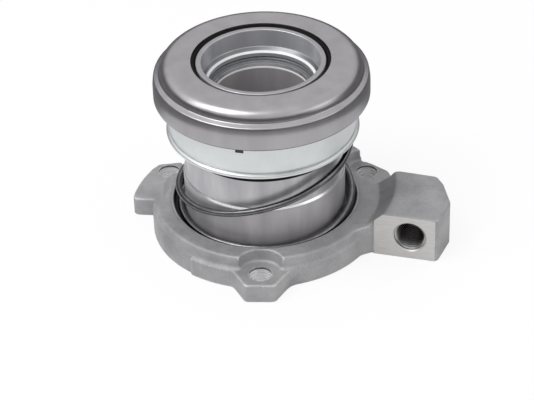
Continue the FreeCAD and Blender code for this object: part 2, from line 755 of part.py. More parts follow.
def shaft_seal():
    inside = "seal_seat_r - shaft_seal_t"
    top = "shaft_seal_low + shaft_seal_h"
    under = top + " - shaft_seal_t"
    root = under + " - shaft_seal_t * 2"
    foot = "shaft_lip_z - shaft_lip_t"
    garter_z = "shaft_lip_z - shaft_lip_t / 2"
    simple_ring("shaft_seal_case", [
        ("seal_seat_r", "shaft_seal_low"), ("seal_seat_r", top), ("shaft_seal_in", top),
        ("shaft_seal_in", under), (inside, under), (inside, "shaft_seal_low")])
    lip = simple_ring("shaft_seal_lip", [
        (inside, under), ("shaft_seal_in", under), ("shaft_lip_r", "shaft_lip_z"),
        ("shaft_lip_r + shaft_lip_t / 2", foot), ("garter_mean_r", foot),
        ("garter_mean_r", "shaft_lip_z + garter_r"), ("shaft_lip_root_r", root),
        (inside, root)])
    spin(lip, "garter_groove", ("garter_mean_r", garter_z, "garter_r + seal_fit"), cut=True,
         draw=circle)
    spring = doc.addObject("Part::Torus", "shaft_seal_spring")
    spring.Label = "shaft_seal_spring"
    spring.setExpression("Radius1", bound("garter_mean_r"))
    spring.setExpression("Radius2", bound("garter_r"))
    spring.setExpression("Placement.Base.z", bound(garter_z))


def duct_ball():
    ball = doc.addObject("Part::Sphere", "duct_ball")
    ball.Label = "duct_ball"
    ball.setExpression("Radius", bound("duct_ball_r"))
    ball.setExpression("Placement.Base.x", bound("duct_ball_at * cos(duct_turn)"))
    ball.setExpression("Placement.Base.y", bound("duct_ball_at * sin(duct_turn)"))
    ball.setExpression("Placement.Base.z", bound("duct_z"))


# pieces that slide along the axis

def piston():
    body = new_body("piston")
    bore = "tube_r + slide_fit"
    outer = "bore_r - slide_fit"
    nose_top = "shoulder + nose_h"
    recess = "shoulder - nose_bore_depth"
    clip_top = "clip_z + clip_t"
    sketch = spin(body, "turned_body", [
        (bore, "piston_low"), (outer, "piston_low"), (outer, "shoulder"),
        ("nose_r", "shoulder"), ("nose_r", "clip_z"), ("clip_seat_r", "clip_z"),
        ("clip_seat_r", clip_top), ("nose_r", clip_top), ("nose_r", nose_top),
        ("nose_bore_r", nose_top), ("nose_bore_r", recess), (bore, recess)])
    bevel_rings(body, "nose_edges", sketch, [8, 9], "nose_chamfer")
    for index in range(3):
        low = "piston_low + piston_groove_low + piston_groove_pitch * %d" % index
        high = low + " + piston_groove_w"
        spin(body, "groove_%d" % index, [
            (outer + " - piston_groove_depth", low), ("bore_r", low), ("bore_r", high),
            (outer + " - piston_groove_depth", high)], cut=True)
    return body


def seals():
    low = "piston_low - seal_h"
    inner = "tube_r + seal_fit"
    outer = "bore_r - seal_fit"
    lip_in = "tube_r + lip_w"
    lip_out = "bore_r - lip_w"
    simple_ring("lip_seal", [
        (inner + " + lip_chamfer", low), (lip_in, low),
        (lip_in, low + " + lip_depth"), (lip_out, low + " + lip_depth"),
        (lip_out, low), (outer + " - lip_chamfer", low), (outer, low + " + lip_chamfer"),
        (outer, "piston_low"), (inner, "piston_low"), (inner, low + " + lip_chamfer")])
    simple_ring("seal_expander", box_section(
        lip_in, lip_out, low + " + expander_recess", low + " + lip_depth"))


def spring_cup():
    body = new_body("spring_cup")
    hole = "nose_r + cup_hole_fit"
    lip_top = "skirt_low + cup_t"
    sketch = spin(body, "shell", [
        (hole, "shoulder"), ("cup_in", "shoulder"), ("cup_in", "skirt_low"),
        ("cup_lip_r", "skirt_low"), ("cup_lip_r", lip_top), ("cup_r", lip_top),
        ("cup_r", "seat"), (hole, "seat")])
    round_rings(body, "shoulder_outside", sketch, [6], "cup_round")
    round_rings(body, "shoulder_inside", sketch, [1], "cup_round - cup_t")
    round_rings(body, "lip_inside", sketch, [2], "cup_lip_round")
    window_top = "shoulder + window_high"
    spin(body, "window", box_section(
        "cup_in - cup_t", "cup_lip_r", "shoulder - window_low", window_top),
        cut=True, turn="window_from", sweep="window_sweep")
    window = body.Tip
    hook_top = "seat + tongue_h"
    hook_low = hook_top + " - tongue_t"
    spin(body, "tongue", [
        ("cup_in", window_top), ("cup_r", window_top), ("cup_r", hook_top),
        ("cup_r - tongue_reach", hook_top), ("cup_r - tongue_reach", hook_low),
        ("cup_in", hook_low)], turn="window_from", sweep="window_sweep")
    pattern(body, "windows_and_tongues", [window, body.Tip], "window_count")
    return body


def clip_and_disc_spring():
    simple_ring("disc_spring", [
        ("nose_r + disc_spring_fit", "clip_z - disc_spring_t"),
        ("disc_spring_r", "seat"), ("disc_spring_r", "seat + disc_spring_t"),
        ("nose_r + disc_spring_fit", "clip_z")])
    simple_ring("piston_clip", box_section(
        "clip_seat_r + clip_fit", "nose_r + clip_out", "clip_z", "clip_z + clip_t"),
        sweep="360 - clip_gap_sweep", turn="clip_turn")


# bearing

def raceway(body):
    spin(body, "raceway", ("race_r", "race_height", "race_groove_r"), cut=True, draw=circle)


def bearing_inner_ring():
    body = new_body("bearing_inner_ring")
    ledge_r = "inner_bore_r - ledge_w"
    sketch = spin(body, "section", [
        ("inner_recess_r", "seat"), ("inner_flange_r", "seat"),
        ("inner_flange_r", "seat + inner_flange_t"), ("inner_cone_r", "seat + inner_flange_t"),
        ("inner_shoulder_r", "seat + inner_shoulder_z"), ("inner_neck_r", "seat + inner_neck_z"),
        ("inner_neck_r", "seat + inner_top"), ("inner_bore_r", "seat + inner_top"),
        ("inner_bore_r", "seat + ledge_z + ledge_rise"), (ledge_r, "seat + ledge_z"),
        (ledge_r, "seat + ledge_under"), ("inner_recess_r", "seat + ledge_under")])
    bevel_rings(body, "top_edges", sketch, [6, 7], "inner_chamfer")
    raceway(body)
    return body


def bearing_outer_ring():
    body = new_body("bearing_outer_ring")
    sketch = spin(body, "section", [
        ("outer_hole_r", "seat + outer_web_z"),
        ("race_r + outer_race_lip", "seat + outer_web_z"),
        ("outer_wall_in", "seat + race_z + inner_shoulder_up"),
        ("outer_wall_in", "seat + shield_seat_z"),
        ("shield_seat_r", "seat + shield_seat_z"), ("shield_seat_r", "seat + outer_low"),
        ("outer_r", "seat + outer_low"), ("outer_r", "seat + outer_wall_z"),
        ("outer_ledge_r", "seat + outer_ledge_z"), ("outer_face_r", "seat + outer_neck_z"),
        ("outer_face_r", "seat + outer_top"), ("outer_hole_r", "seat + outer_top")])
    round_rings(body, "face_edge", sketch, [10], "outer_round")
    round_rings(body, "low_edge", sketch, [6], "outer_low_round")
    raceway(body)
    return body


def bearing_seals():
    low = "seat + front_seal_low"
    high = "seat + outer_top - front_seal_down"
    inner = "inner_neck_r + front_seal_fit"
    simple_ring("front_seal", [
        (inner, low), ("outer_hole_r", low), ("outer_hole_r", high),
        (inner + " + front_seal_lip_h", high),
        (inner, high + " - front_seal_lip_h")])
    simple_ring("rear_shield", box_section(
        "inner_cone_r + shield_clear", "shield_seat_r", "seat + shield_seat_z - shield_t",
        "seat + shield_seat_z"))


def balls_and_cage():
    body = new_body("bearing_balls")
    ball = body.newObject("PartDesign::AdditiveSphere", "ball")
    place(ball, body, "XY_Plane", base=(("x", "race_r"), ("z", "race_height")))
    ball.setExpression("Radius", bound("ball_r"))
    body.Tip = ball
    doc.recompute()
    pattern(body, "balls", [ball], "ball_count")

    cage = new_body("ball_cage")
    section = [("race_r + cage_a%d * ball_r" % i, "race_height + cage_b%d * ball_r" % i)
               for i in range(1, len(CAGE) + 1)]
    spin(cage, "crown", section)
    pocket = cage.newObject("PartDesign::SubtractiveSphere", "ball_pocket")
    place(pocket, cage, "XY_Plane", base=(("x", "race_r"), ("z", "race_height")))
    pocket.setExpression("Radius", bound("ball_r + cage_gap"))
    cage.Tip = pocket
    finish_feature(cage, pocket, False)
    pattern(cage, "ball_pockets", [pocket], "ball_count")


# preload spring

def smooth_share(angle):
    """Share of the rise at an angle, with a monotone cubic through SPRING_RISE."""
    knots = SPRING_RISE
    for index in range(len(knots) - 1):
        if angle <= knots[index + 1][0]:
            break
    (x0, y0), (x1, y1) = knots[index], knots[index + 1]
    before = knots[index - 1] if index else knots[index]
    after = knots[index + 2] if index + 2 < len(knots) else knots[index + 1]
    here = (y1 - y0) / (x1 - x0)
    start = knot_slope(here, (y0 - before[1]) / max(x0 - before[0], 1))
    end = knot_slope(here, (after[1] - y1) / max(after[0] - x1, 1))
    part = (angle - x0) / (x1 - x0)
    span = x1 - x0
    return (y0 * (1 + 2 * part) * (1 - part) ** 2 + start * span * part * (1 - part) ** 2
            + y1 * part ** 2 * (3 - 2 * part) + end * span * part ** 2 * (part - 1))


def knot_slope(here, there):
    if here * there <= 0:
        return 0.0
    return 2 * here * there / (here + there)


def preload_spring():
    floor, shoulder, coil_r, wire_r = read_back(["well_floor", "shoulder", "coil_r", "wire_r"])
    low = floor + wire_r
    high = shoulder - wire_r
    first, last = SPRING_RISE[0][0], SPRING_RISE[-1][0]
    points = []
    for angle in range(first, last + 1, SPRING_STEP):
        turn = math.radians(angle - 180)
        points.append(Vector(coil_r * math.cos(turn), coil_r * math.sin(turn),
                             low + (high - low) * smooth_share(angle)))
    path = Part.BSplineCurve()
    path.interpolate(points)
    start = Part.Circle(points[0], path.tangent(path.FirstParameter)[0], wire_r)
    wire = Part.Wire([path.toShape()])
    tube = wire.makePipeShell([Part.Wire([start.toShape()])], True, False)
    spring = doc.addObject("Part::Feature", "preload_spring")
    spring.Label = "preload_spring"
    spring.Shape = tube
    spring.Placement = FreeCAD.Placement()


# all pieces

housing()
guide_tube()
fixed_rings()
shaft_seal()
duct_ball()
piston()
seals()
spring_cup()
clip_and_disc_spring()
bearing_inner_ring()
bearing_outer_ring()
bearing_seals()
balls_and_cage()
preload_spring()
doc.recompute()


def pieces():
    kinds = ("PartDesign::Body", "Part::Torus", "Part::Sphere", "Part::Feature")
    return [item for item in doc.Objects if item.TypeId in kinds]


def check_all():
    for item in doc.Objects:
        if "Invalid" in item.State or "Error" in item.State:
            raise RuntimeError("%s failed: %s" % (item.Label, item.State))
    for item in pieces():
        shape = item.Shape
        if shape.isNull() or not shape.isValid() or shape.Volume <= 0:
            raise RuntimeError("%s has no sound shape" % item.Label)


check_all()
os.makedirs("parts", exist_ok=True)
for item in pieces():
    item.Shape.exportStep(os.path.join("parts", item.Label + ".step"))
    box = item.Shape.BoundBox
    print("%-20s %2d solid(s) %10.1f mm3  z %.2f to %.2f" % (
        item.Label, len(item.Shape.Solids), item.Shape.Volume, box.ZMin, box.ZMax))
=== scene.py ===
# %% [markdown]
# # Concentric slave cylinder
# A concentric slave cylinder sits round the input shaft of a gearbox. Oil pushed in at the
# threaded port drives a ring-shaped piston along a steel tube, and the release bearing on the
# piston presses the fingers of the clutch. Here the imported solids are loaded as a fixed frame
# and the looks are built round them. Sizes are in millimetres in the text and turned to metres
# by one factor.

import math

import bmesh
import bpy
from mathutils import Matrix, Quaternion, Vector, noise


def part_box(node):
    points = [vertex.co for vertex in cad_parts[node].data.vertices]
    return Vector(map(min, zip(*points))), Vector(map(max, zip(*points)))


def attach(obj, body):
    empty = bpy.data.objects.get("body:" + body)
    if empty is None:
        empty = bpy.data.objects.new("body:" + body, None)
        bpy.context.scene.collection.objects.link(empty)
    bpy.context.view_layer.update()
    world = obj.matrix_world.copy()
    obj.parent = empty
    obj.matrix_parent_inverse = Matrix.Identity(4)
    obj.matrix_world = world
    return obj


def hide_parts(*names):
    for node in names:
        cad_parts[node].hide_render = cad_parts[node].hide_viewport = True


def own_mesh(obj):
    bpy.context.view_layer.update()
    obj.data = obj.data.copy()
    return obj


MM = 0.001
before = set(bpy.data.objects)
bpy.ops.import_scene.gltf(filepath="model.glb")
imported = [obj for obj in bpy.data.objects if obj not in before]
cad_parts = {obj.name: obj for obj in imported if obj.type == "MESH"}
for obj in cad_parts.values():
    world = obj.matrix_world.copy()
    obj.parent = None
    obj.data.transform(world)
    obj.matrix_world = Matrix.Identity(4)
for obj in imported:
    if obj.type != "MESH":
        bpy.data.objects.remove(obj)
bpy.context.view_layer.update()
print("solids:", len(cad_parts))

# %% [markdown]
# ## Colours and nodes
# Colours are written as the hex values of a colour picker, which are sRGB. A shader works in
# linear light, so one function turns each value over. A second small function adds a node with
# its settings and links, which keeps every material below short enough to read. Most of
# the materials here let one pattern drive colour, roughness and bump, so that is a function too.

# %% Helpers for colours and nodes
def linear(code):
    """An sRGB hex colour as the linear RGBA that a shader socket takes."""
    shares = [int(code[i:i + 2], 16) / 255 for i in (0, 2, 4)]
    turned = [s / 12.92 if s <= 0.04045 else ((s + 0.055) / 1.055) ** 2.4 for s in shares]
    return (*turned, 1.0)


def add(tree, kind, sockets=None, stops=(), **settings):
    """Adds one node. Sockets take a value or another's output, stops are (position, colour)."""
    node = tree.nodes.new(kind)
    for name, value in settings.items():
        setattr(node, name, value)
    for name, value in (sockets or {}).items():
        if isinstance(value, bpy.types.NodeSocket):
            tree.links.new(value, node.inputs[name])
        else:
            node.inputs[name].default_value = value
    if stops:
        elements = node.color_ramp.elements
        while len(elements) < len(stops):
            elements.new(0.5)
        for element, (position, colour) in zip(elements, stops):
            element.position = position
            element.color = colour
    return node


def start_material(name, **shader_values):
    """An empty material with a Principled shader, its tree and its Object coordinates."""
    material = bpy.data.materials.new(name)
    material.use_nodes = True
    tree = material.node_tree
    tree.nodes.clear()
    shader = add(tree, "ShaderNodeBsdfPrincipled")
    for key, value in shader_values.items():
        socket = key.replace("_", " ").title().replace("Ior", "IOR")
        shader.inputs[socket].default_value = value
    add(tree, "ShaderNodeOutputMaterial", {"Surface": shader.outputs[0]})
    where = add(tree, "ShaderNodeTexCoord").outputs["Object"]
    return material, tree, shader, where


def per_mm(size):
    """The scale of a texture whose features are that many millimetres across."""
    return 1.0 / (size * MM)


def dress(tree, shader, pattern, colours, roughness, bump=None):
    """Lets a pattern spread a surface between two colours, if any, and two roughnesses.

    bump: what stands for the height, how strong it shows, and how deep it is in mm.
    """
    if colours:
        base = add(tree, "ShaderNodeValToRGB", {"Fac": pattern}, [
            (0.3, linear(colours[0])), (0.7, linear(colours[1]))])
        tree.links.new(base.outputs["Color"], shader.inputs["Base Color"])
    rough = add(tree, "ShaderNodeMapRange", {
        "Value": pattern, "From Min": 0.3, "From Max": 0.7,
        "To Min": roughness[0], "To Max": roughness[1]})
    tree.links.new(rough.outputs[0], shader.inputs["Roughness"])
    if bump:
        height, strength, depth = bump
        dents = add(tree, "ShaderNodeBump", {
            "Height": height, "Strength": strength, "Distance": depth * MM})
        tree.links.new(dents.outputs[0], shader.inputs["Normal"])


print("linear mid grey:", [round(x, 3) for x in linear("808080")])

# %% [markdown]
# ## Turned and ground steel
# The two bearing rings are hardened bearing steel. The lathe and the grinding wheel leave very
# fine rings round the axis, which draw every highlight out sideways. The rings are too fine to
# see one by one, so the pattern here is only as coarse as it needs to be to break up a highlight.
# It is made from the distance to the axis and the height, so that it runs round the piece on a
# flat face and on a wall alike.

# %% Turned steel
def lathe_lines(tree, where, spacing):
    """A value that changes along the profile of a turned piece and not round it."""
    flat = add(tree, "ShaderNodeVectorMath", {0: where, 1: (1, 1, 0)}, operation="MULTIPLY")
    reach = add(tree, "ShaderNodeVectorMath", {0: flat.outputs[0]}, operation="LENGTH")
    split = add(tree, "ShaderNodeSeparateXYZ", {0: where})
    along = add(tree, "ShaderNodeMath", {0: reach.outputs["Value"], 1: split.outputs["Z"]},
                operation="ADD")
    return add(tree, "ShaderNodeTexNoise", {
        "W": along.outputs[0], "Scale": per_mm(spacing), "Detail": 3.0, "Roughness": 0.6},
        noise_dimensions="1D").outputs["Fac"]


def turned_steel(name, dark, light, roughness, lines_mm, anisotropy, metallic=1.0):
    """Metal with the fine rings of a lathe or grinding wheel."""
    material, tree, shader, where = start_material(name, metallic=metallic, anisotropic=anisotropy)
    lines = lathe_lines(tree, where, lines_mm)
    upright = add(tree, "ShaderNodeVectorMath", {0: where, 1: (1, 1, 0.2)}, operation="MULTIPLY")
    cloud = add(tree, "ShaderNodeTexNoise", {
        "Vector": upright.outputs[0], "Scale": per_mm(6.0), "Detail": 3.0}).outputs["Fac"]
    both = add(tree, "ShaderNodeMath", {0: lines, 1: cloud, 2: 0.5}, operation="MULTIPLY_ADD")
    base = add(tree, "ShaderNodeValToRGB", {"Fac": cloud}, [
        (0.35, linear(dark)), (0.65, linear(light))])
    tree.links.new(base.outputs["Color"], shader.inputs["Base Color"])
    rough = add(tree, "ShaderNodeMapRange", {
        "Value": both.outputs[0], "From Min": 0.5, "From Max": 1.0,
        "To Min": roughness * 0.94, "To Max": roughness * 1.06})
    tree.links.new(rough.outputs[0], shader.inputs["Roughness"])
    bump = add(tree, "ShaderNodeBump", {
        "Height": lines, "Strength": 0.03, "Distance": 0.01 * MM})
    tree.links.new(bump.outputs[0], shader.inputs["Normal"])
    tangent = add(tree, "ShaderNodeTangent", direction_type="RADIAL", axis="Z")
    tree.links.new(tangent.outputs[0], shader.inputs["Tangent"])
    return material


print("one function makes all the turned metals")

# %% Steel materials
# Bearing steel, hardened and ground: satin mid grey with soft wide highlights.
ground_face = turned_steel("bearing_steel_ground", "9f9da0", "a8a6a9", 0.3, 0.2, 0.5)
# The same steel at the inner ring's bore, only turned: brighter, with a thin film of grease.
turned_bore = turned_steel("bearing_steel_turned", "b4b5b9", "c7c8cc", 0.26, 0.15, 0.4, 0.5)
# The cone over its ledge: a darker copy of the bore's steel as painted shade.
ledge_cone_shade = turned_steel("bearing_steel_cone_painted_shade", "6f7173", "7f8183", 0.34, 0.3, 0.2, 0.8)
# The underside of the outer ring: a darker copy of the same steel as painted shade.
underside_shade_steel = turned_steel("bearing_steel_underside_painted_shade", "4b494c", "5b595c", 0.4, 0.3, 0.2, 0.6)
# Polished balls.
ball_steel = turned_steel("ball_steel_polished", "b4b5b8", "bcbdc0", 0.1, 0.5, 0.0)
# Drawn and ground steel of the guide tube.
tube_steel = turned_steel("tube_steel_drawn", "b4b1b3", "c2bfc1", 0.32, 0.3, 0.4, 0.4)
# The tube's bevelled mouth, darker with a painted shade.
tube_bevel_shade = turned_steel("tube_steel_bevel_painted_shade", "8f8e91", "9f9ea1", 0.28, 0.2, 0.3, 0.6)
# A painted highlight on edges: nearly white lines.
edge_highlight_steel = turned_steel("tube_steel_painted_highlight", "f0eff2", "f8f8fa", 0.3, 0.2, 0.0, 0.1)
# Bright stamped spring steel of the snap ring, the clip and the disc spring.
stamped_steel = turned_steel("spring_steel_stamped", "8a8b8e", "9d9ea1", 0.3, 0.3, 0.2)
print("steels:", [m.name for m in bpy.data.materials])

# %% [markdown]
# ## Zinc-plated sheet
# The cup round the spring is drawn from thin sheet and zinc plated. Bright zinc is a pale,
# slightly bluish white with a broad soft shine. The drawing punch leaves faint lines round the
# cup, and a little unevenness in the plating shows as clouds a few millimetres wide.

# %% Plated sheet
def plated_sheet(name, dark, light):
    """Plated sheet with clouds in its shine and faint lines round the axis."""
    material, tree, shader, where = start_material(name, metallic=0.85)
    cloud = add(tree, "ShaderNodeTexNoise", {
        "Vector": where, "Scale": per_mm(7.0), "Detail": 4.0}).outputs["Fac"]
    lines = lathe_lines(tree, where, 0.35)
    dress(tree, shader, cloud, (dark, light), (0.34, 0.46), (lines, 0.15, 0.01))
    return material


zinc_sheet = plated_sheet("steel_sheet_zinc_plated", "d1d4d5", "dfe2e3")
# Inside the cup and under the lip the sheet gets a dark painted shade.
zinc_shade = plated_sheet("steel_sheet_plated_painted_shade", "3c3c3b", "4e4e4c")
print("plated sheet ready")

# %% [markdown]
# ## Cast and machined aluminium
# The flange, the ears and the port block are pressure die-cast aluminium, left as it came from
# the mould: matte, mid grey, with a fine grain, darker clouds where the metal chilled and a
# painted highlight along its edges. The port's face and the underside are milled, the bolt holes
# drilled and the cylinder turned, so they are brighter and keep the marks of the tool. The walls
# of the bolt holes are made paler with painted light, their rims and the port's bore darker with
# painted shade. One casting carries all these finishes, each as a material of its own on its own
# faces.

# %% Cast aluminium
EDGE_ATTRIBUTE = "edge_painted_highlight"   # how far a corner of the casting's mesh lies on an edge


def cast_aluminium():
    """Die-cast metal: clouds, a fine grain, and a painted highlight where the attribute says so.
    """
    material, tree, shader, where = start_material("aluminium_die_cast", metallic=0.55)
    cloud = add(tree, "ShaderNodeTexNoise", {
        "Vector": where, "Scale": per_mm(11.0), "Detail": 5.0, "Roughness": 0.6}).outputs["Fac"]
    grain = add(tree, "ShaderNodeTexNoise", {
        "Vector": where, "Scale": per_mm(0.7), "Detail": 4.0, "Roughness": 0.65}).outputs["Fac"]
    base = add(tree, "ShaderNodeValToRGB", {"Fac": cloud}, [
        (0.3, linear("929294")), (0.5, linear("a4a4a6")), (0.7, linear("b2b1b2"))])
    speck = add(tree, "ShaderNodeValToRGB", {"Fac": grain}, [
        (0.36, (0.72, 0.72, 0.72, 1)), (0.5, (1, 1, 1, 1))])
    mixed = add(tree, "ShaderNodeMix", {
        0: 0.6, 6: base.outputs["Color"], 7: speck.outputs["Color"]},
        data_type="RGBA", blend_type="MULTIPLY")
    # The edge attribute mixes in a painted highlight of lighter metal.
    edge_highlight = add(tree, "ShaderNodeAttribute", attribute_name=EDGE_ATTRIBUTE)
    broken = add(tree, "ShaderNodeMath", {
        0: edge_highlight.outputs["Fac"], 1: cloud}, operation="MULTIPLY", use_clamp=True)
    bright = add(tree, "ShaderNodeMix", {
        0: broken.outputs[0], 6: mixed.outputs[2], 7: linear("f2f2f2")}, data_type="RGBA")
    tree.links.new(bright.outputs[2], shader.inputs["Base Color"])
    dress(tree, shader, grain, None, (0.5, 0.72), (grain, 0.35, 0.06))
    return material


cast = cast_aluminium()
print("cast metal:", cast.name)

# %% Machined aluminium
PORT_TURN = -16.1   # degrees, how far the port block is turned round the axis


def machined_aluminium(name, dark, light, roughness, metallic):
    """Machined faces. The tool marks are noise drawn out along the port's face."""
    material, tree, shader, where = start_material(name, metallic=metallic)
    stretched = add(tree, "ShaderNodeMapping", {
        "Vector": where, "Rotation": (0.0, 0.0, math.radians(PORT_TURN)),
        "Scale": (0.25, 1.0, 3.0)})
    marks = add(tree, "ShaderNodeTexNoise", {
        "Vector": stretched.outputs[0], "Scale": per_mm(1.2), "Detail": 4.0}).outputs["Fac"]
    dress(tree, shader, marks, (dark, light), (roughness * 0.85, roughness * 1.15),
          (marks, 0.15, 0.02))
    return material


# The port's face and the underside, milled flat: pale with faint marks.
milled = machined_aluminium("aluminium_milled", "bdbbba", "cccac8", 0.42, 0.6)
# The walls of the drilled holes are pale with painted light from above. Their rims get a painted
# shade.
drilled = machined_aluminium("aluminium_drilled", "e9e8e9", "f2f1f2", 0.28, 0.35)
drilled_rim_shade = machined_aluminium("aluminium_drilled_rim_painted_shade", "5f5e5f", "737273", 0.4, 0.5)
# The port's bore gets a nearly black painted shade.
port_bore_shade = machined_aluminium("aluminium_bored_painted_shade", "1d1c1d", "2b2a2a", 0.35, 0.3)
# The cylinder's thick lower part is dull, its neck satin, and the chamfer between carries a
# painted highlight.
cylinder_wall = turned_steel("aluminium_turned_dull", "9e9ca0", "b2b0b4", 0.4, 0.3, 0.2, 0.45)
neck_wall = turned_steel("aluminium_turned", "a3a1a6", "bcbbbe", 0.3, 0.3, 0.4, 0.55)
chamfer_highlight = turned_steel("aluminium_chamfer_painted_highlight", "d8d7da", "e6e5e8", 0.25, 0.3, 0.3, 0.8)
# The floor and wall of the well and the top of the neck get a nearly black painted shade.
well_shade = turned_steel("aluminium_turned_painted_shade", "0d0d0e", "171718", 0.6, 0.3, 0.0, 0.1)
print("machined:", milled.name, drilled.name, cylinder_wall.name)

# %% [markdown]
# ## Wire, rubber and plastics
# The preload spring is oil-tempered wire: dark grey steel with a thin oxide skin, shiny along
# its length. The seals are nitrile rubber, moulded, nearly black with a dull shine. The piston is
# glass-filled nylon and the cage of the bearing natural nylon.

# %% Wire, rubber and plastics
def tempered_wire():
    """Spring wire: dark metal whose oxide skin breaks up the shine."""
    material, tree, shader, where = start_material("spring_wire_oil_tempered", metallic=1.0)
    cloud = add(tree, "ShaderNodeTexNoise", {
        "Vector": where, "Scale": per_mm(2.5), "Detail": 4.0}).outputs["Fac"]
    dress(tree, shader, cloud, ("626264", "757577"), (0.2, 0.28))
    return material


def moulded(name, dark, light, roughness, grain_mm, shine=0.5):
    """Moulded rubber or plastic: one colour with a fine even grain."""
    material, tree, shader, where = start_material(name, metallic=0.0, specular_ior_level=shine)
    grain = add(tree, "ShaderNodeTexNoise", {
        "Vector": where, "Scale": per_mm(grain_mm), "Detail": 3.0}).outputs["Fac"]
    dress(tree, shader, grain, (dark, light), (roughness * 0.85, roughness * 1.15),
          (grain, 0.2, 0.02))
    return material


wire = tempered_wire()
rubber = moulded("nitrile_rubber_moulded", "020202", "060606", 0.55, 0.6, 0.12)
dark_nylon = moulded("nylon_glass_filled_moulded", "56585c", "66686c", 0.3, 0.5)
pale_nylon = moulded("nylon_natural_moulded", "cfc7b2", "dcd5c2", 0.45, 0.8)
print("wire, rubber and plastics:", wire.name, rubber.name, dark_nylon.name, pale_nylon.name)

# %% [markdown]
# ## Turned pieces
# Most of this part is turned, so most new pieces start as the outline of half a section and are
# spun round the axis. The corners of the outline become rings of edges, and a bevel on those
# rings gives the small rounds that catch the light. Weighted normals then keep the flat
# faces flat between the soft corners. Sizes that the solids already have are read from the
# boxes of the frame, so that a new piece always fits the solid that it stands for.

# %% Helpers to finish a piece
SHARP = math.radians(32)           # edges that fold more than this stay crisp
CASTING_SHARP = math.radians(40)   # the same on the uneven skin of the casting


def size_of(node):
    """A node's reach from the axis and its lowest and highest point, to 0.01 mm."""
    low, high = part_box(node)
    return [round(value / MM, 2) for value in (high.x, low.z, high.z)]


def finish_piece(bm, name, materials, body, nodes=(), sharp=SHARP):
    """Makes an object of a bmesh, shades it, hides the solids it stands for and ties it to its
    body.
    """
    mesh = bpy.data.meshes.new(name)
    for edge in bm.edges:
        edge.smooth = len(edge.link_faces) == 2 and edge.calc_face_angle(0.0) < sharp
    for face in bm.faces:
        face.smooth = True
    bm.to_mesh(mesh)
    bm.free()
    piece = bpy.data.objects.new(name, mesh)
    bpy.context.scene.collection.objects.link(piece)
    for material in materials:
        mesh.materials.append(material)
    weighted = piece.modifiers.new("flat_faces", "WEIGHTED_NORMAL")
    weighted.keep_sharp = True
    if nodes:
        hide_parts(*nodes)
    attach(piece, body)
    print(name, "faces:", len(mesh.polygons))
    return piece


def paint(bm, pick):
    """Gives each face the material number that pick returns for its height and reach in mm."""
    for face in bm.faces:
        centre = face.calc_center_median() / MM
        face.material_index = pick(centre.z, centre.xy.length)


print("outer ring reaches, starts and ends at", size_of("bearing_outer_ring"), "mm")


# %% Helpers to spin a section
STEPS = 160        # faces round a turned piece
FINE_STEPS = 180   # the same round the widest ones


def arc(middle, radius, start, stop, count=8):
    """Corners along a circle of the half section, from one of its angles to another."""
    turns = [math.radians(start + (stop - start) * i / count) for i in range(count + 1)]
    return [(middle[0] + radius * math.cos(t), middle[1] + radius * math.sin(t)) for t in turns]


def spun(section, bevels=(), steps=STEPS):
    """Spins a closed half section of (radius, height) in mm. bevels: (corner, width, steps)."""
    bm = bmesh.new()
    corners = [bm.verts.new((r * MM, 0.0, z * MM)) for r, z in section]
    edges = [bm.edges.new((corners[i - 1], corners[i])) for i in range(len(corners))]
    bmesh.ops.spin(bm, geom=corners + edges, cent=(0, 0, 0), axis=(0, 0, 1),
                   angle=math.tau, steps=steps, use_merge=True)
    bmesh.ops.remove_doubles(bm, verts=bm.verts, dist=1e-7)
    bmesh.ops.recalc_face_normals(bm, faces=bm.faces)
    for corner, width, segments in bevels:
        r, z = section[corner]
        ring = [e for e in bm.edges if all(
            abs(v.co.z - z * MM) < 1e-6 and abs(v.co.xy.length - r * MM) < 1e-6
            for v in e.verts)]
        bmesh.ops.bevel(bm, geom=ring, offset=width * MM, offset_type="OFFSET",
                        affect="EDGES", segments=segments, profile=0.5, material=-1,
                        clamp_overlap=True)
    return bm


def sector(section, start, sweep, steps=6):
    """A short stretch of a ring: a half section spun through a few degrees, with its ends."""
    turn = Matrix.Rotation(math.radians(start), 3, "Z")
    bm = bmesh.new()
    face = bm.faces.new([bm.verts.new(turn @ Vector((r * MM, 0, z * MM))) for r, z in section])
    bmesh.ops.spin(bm, geom=bm.verts[:] + bm.edges[:] + [face], cent=(0, 0, 0),
                   axis=(0, 0, 1), angle=math.radians(sweep), steps=steps)
    bmesh.ops.remove_doubles(bm, verts=bm.verts, dist=1e-7)
    bmesh.ops.recalc_face_normals(bm, faces=bm.faces)
    return bm


print("turned pieces take", STEPS, "or", FINE_STEPS, "steps round")

# %% [markdown]
# ## Cutting and joining
# Modifiers do what bmesh has no operator for. A bmesh is put into an object for a moment, a
# modifier works on it, and the result comes back as a bmesh. The exact boolean keeps the
# material numbers of both shapes, so a cutter leaves its own finish on the faces that it makes.

# %% Helpers to cut and join
def as_object(bm, name):
    """Puts a bmesh into an object of its own."""
    mesh = bpy.data.meshes.new(name)
    bm.to_mesh(mesh)
    bm.free()
    holder = bpy.data.objects.new(name, mesh)
    bpy.context.scene.collection.objects.link(holder)
    return holder


def applied(holder):
    """The mesh of an object with its modifiers applied, as a bmesh. The object is removed."""
    graph = bpy.context.evaluated_depsgraph_get()
    mesh = bpy.data.meshes.new_from_object(holder.evaluated_get(graph))
    bm = bmesh.new()
    bm.from_mesh(mesh)
    bpy.data.meshes.remove(mesh)
    bpy.data.meshes.remove(holder.data)
    return bm


def carved(bm, tool, operation):
    """Cuts one closed shape out of another, or joins the two."""
    body, cutter = as_object(bm, "carved_body"), as_object(tool, "carving_tool")
    modifier = body.modifiers.new("carve", "BOOLEAN")
    modifier.operation = operation
    modifier.solver = "EXACT"
    modifier.object = cutter
    result = applied(body)
    bpy.data.meshes.remove(cutter.data)
    return result


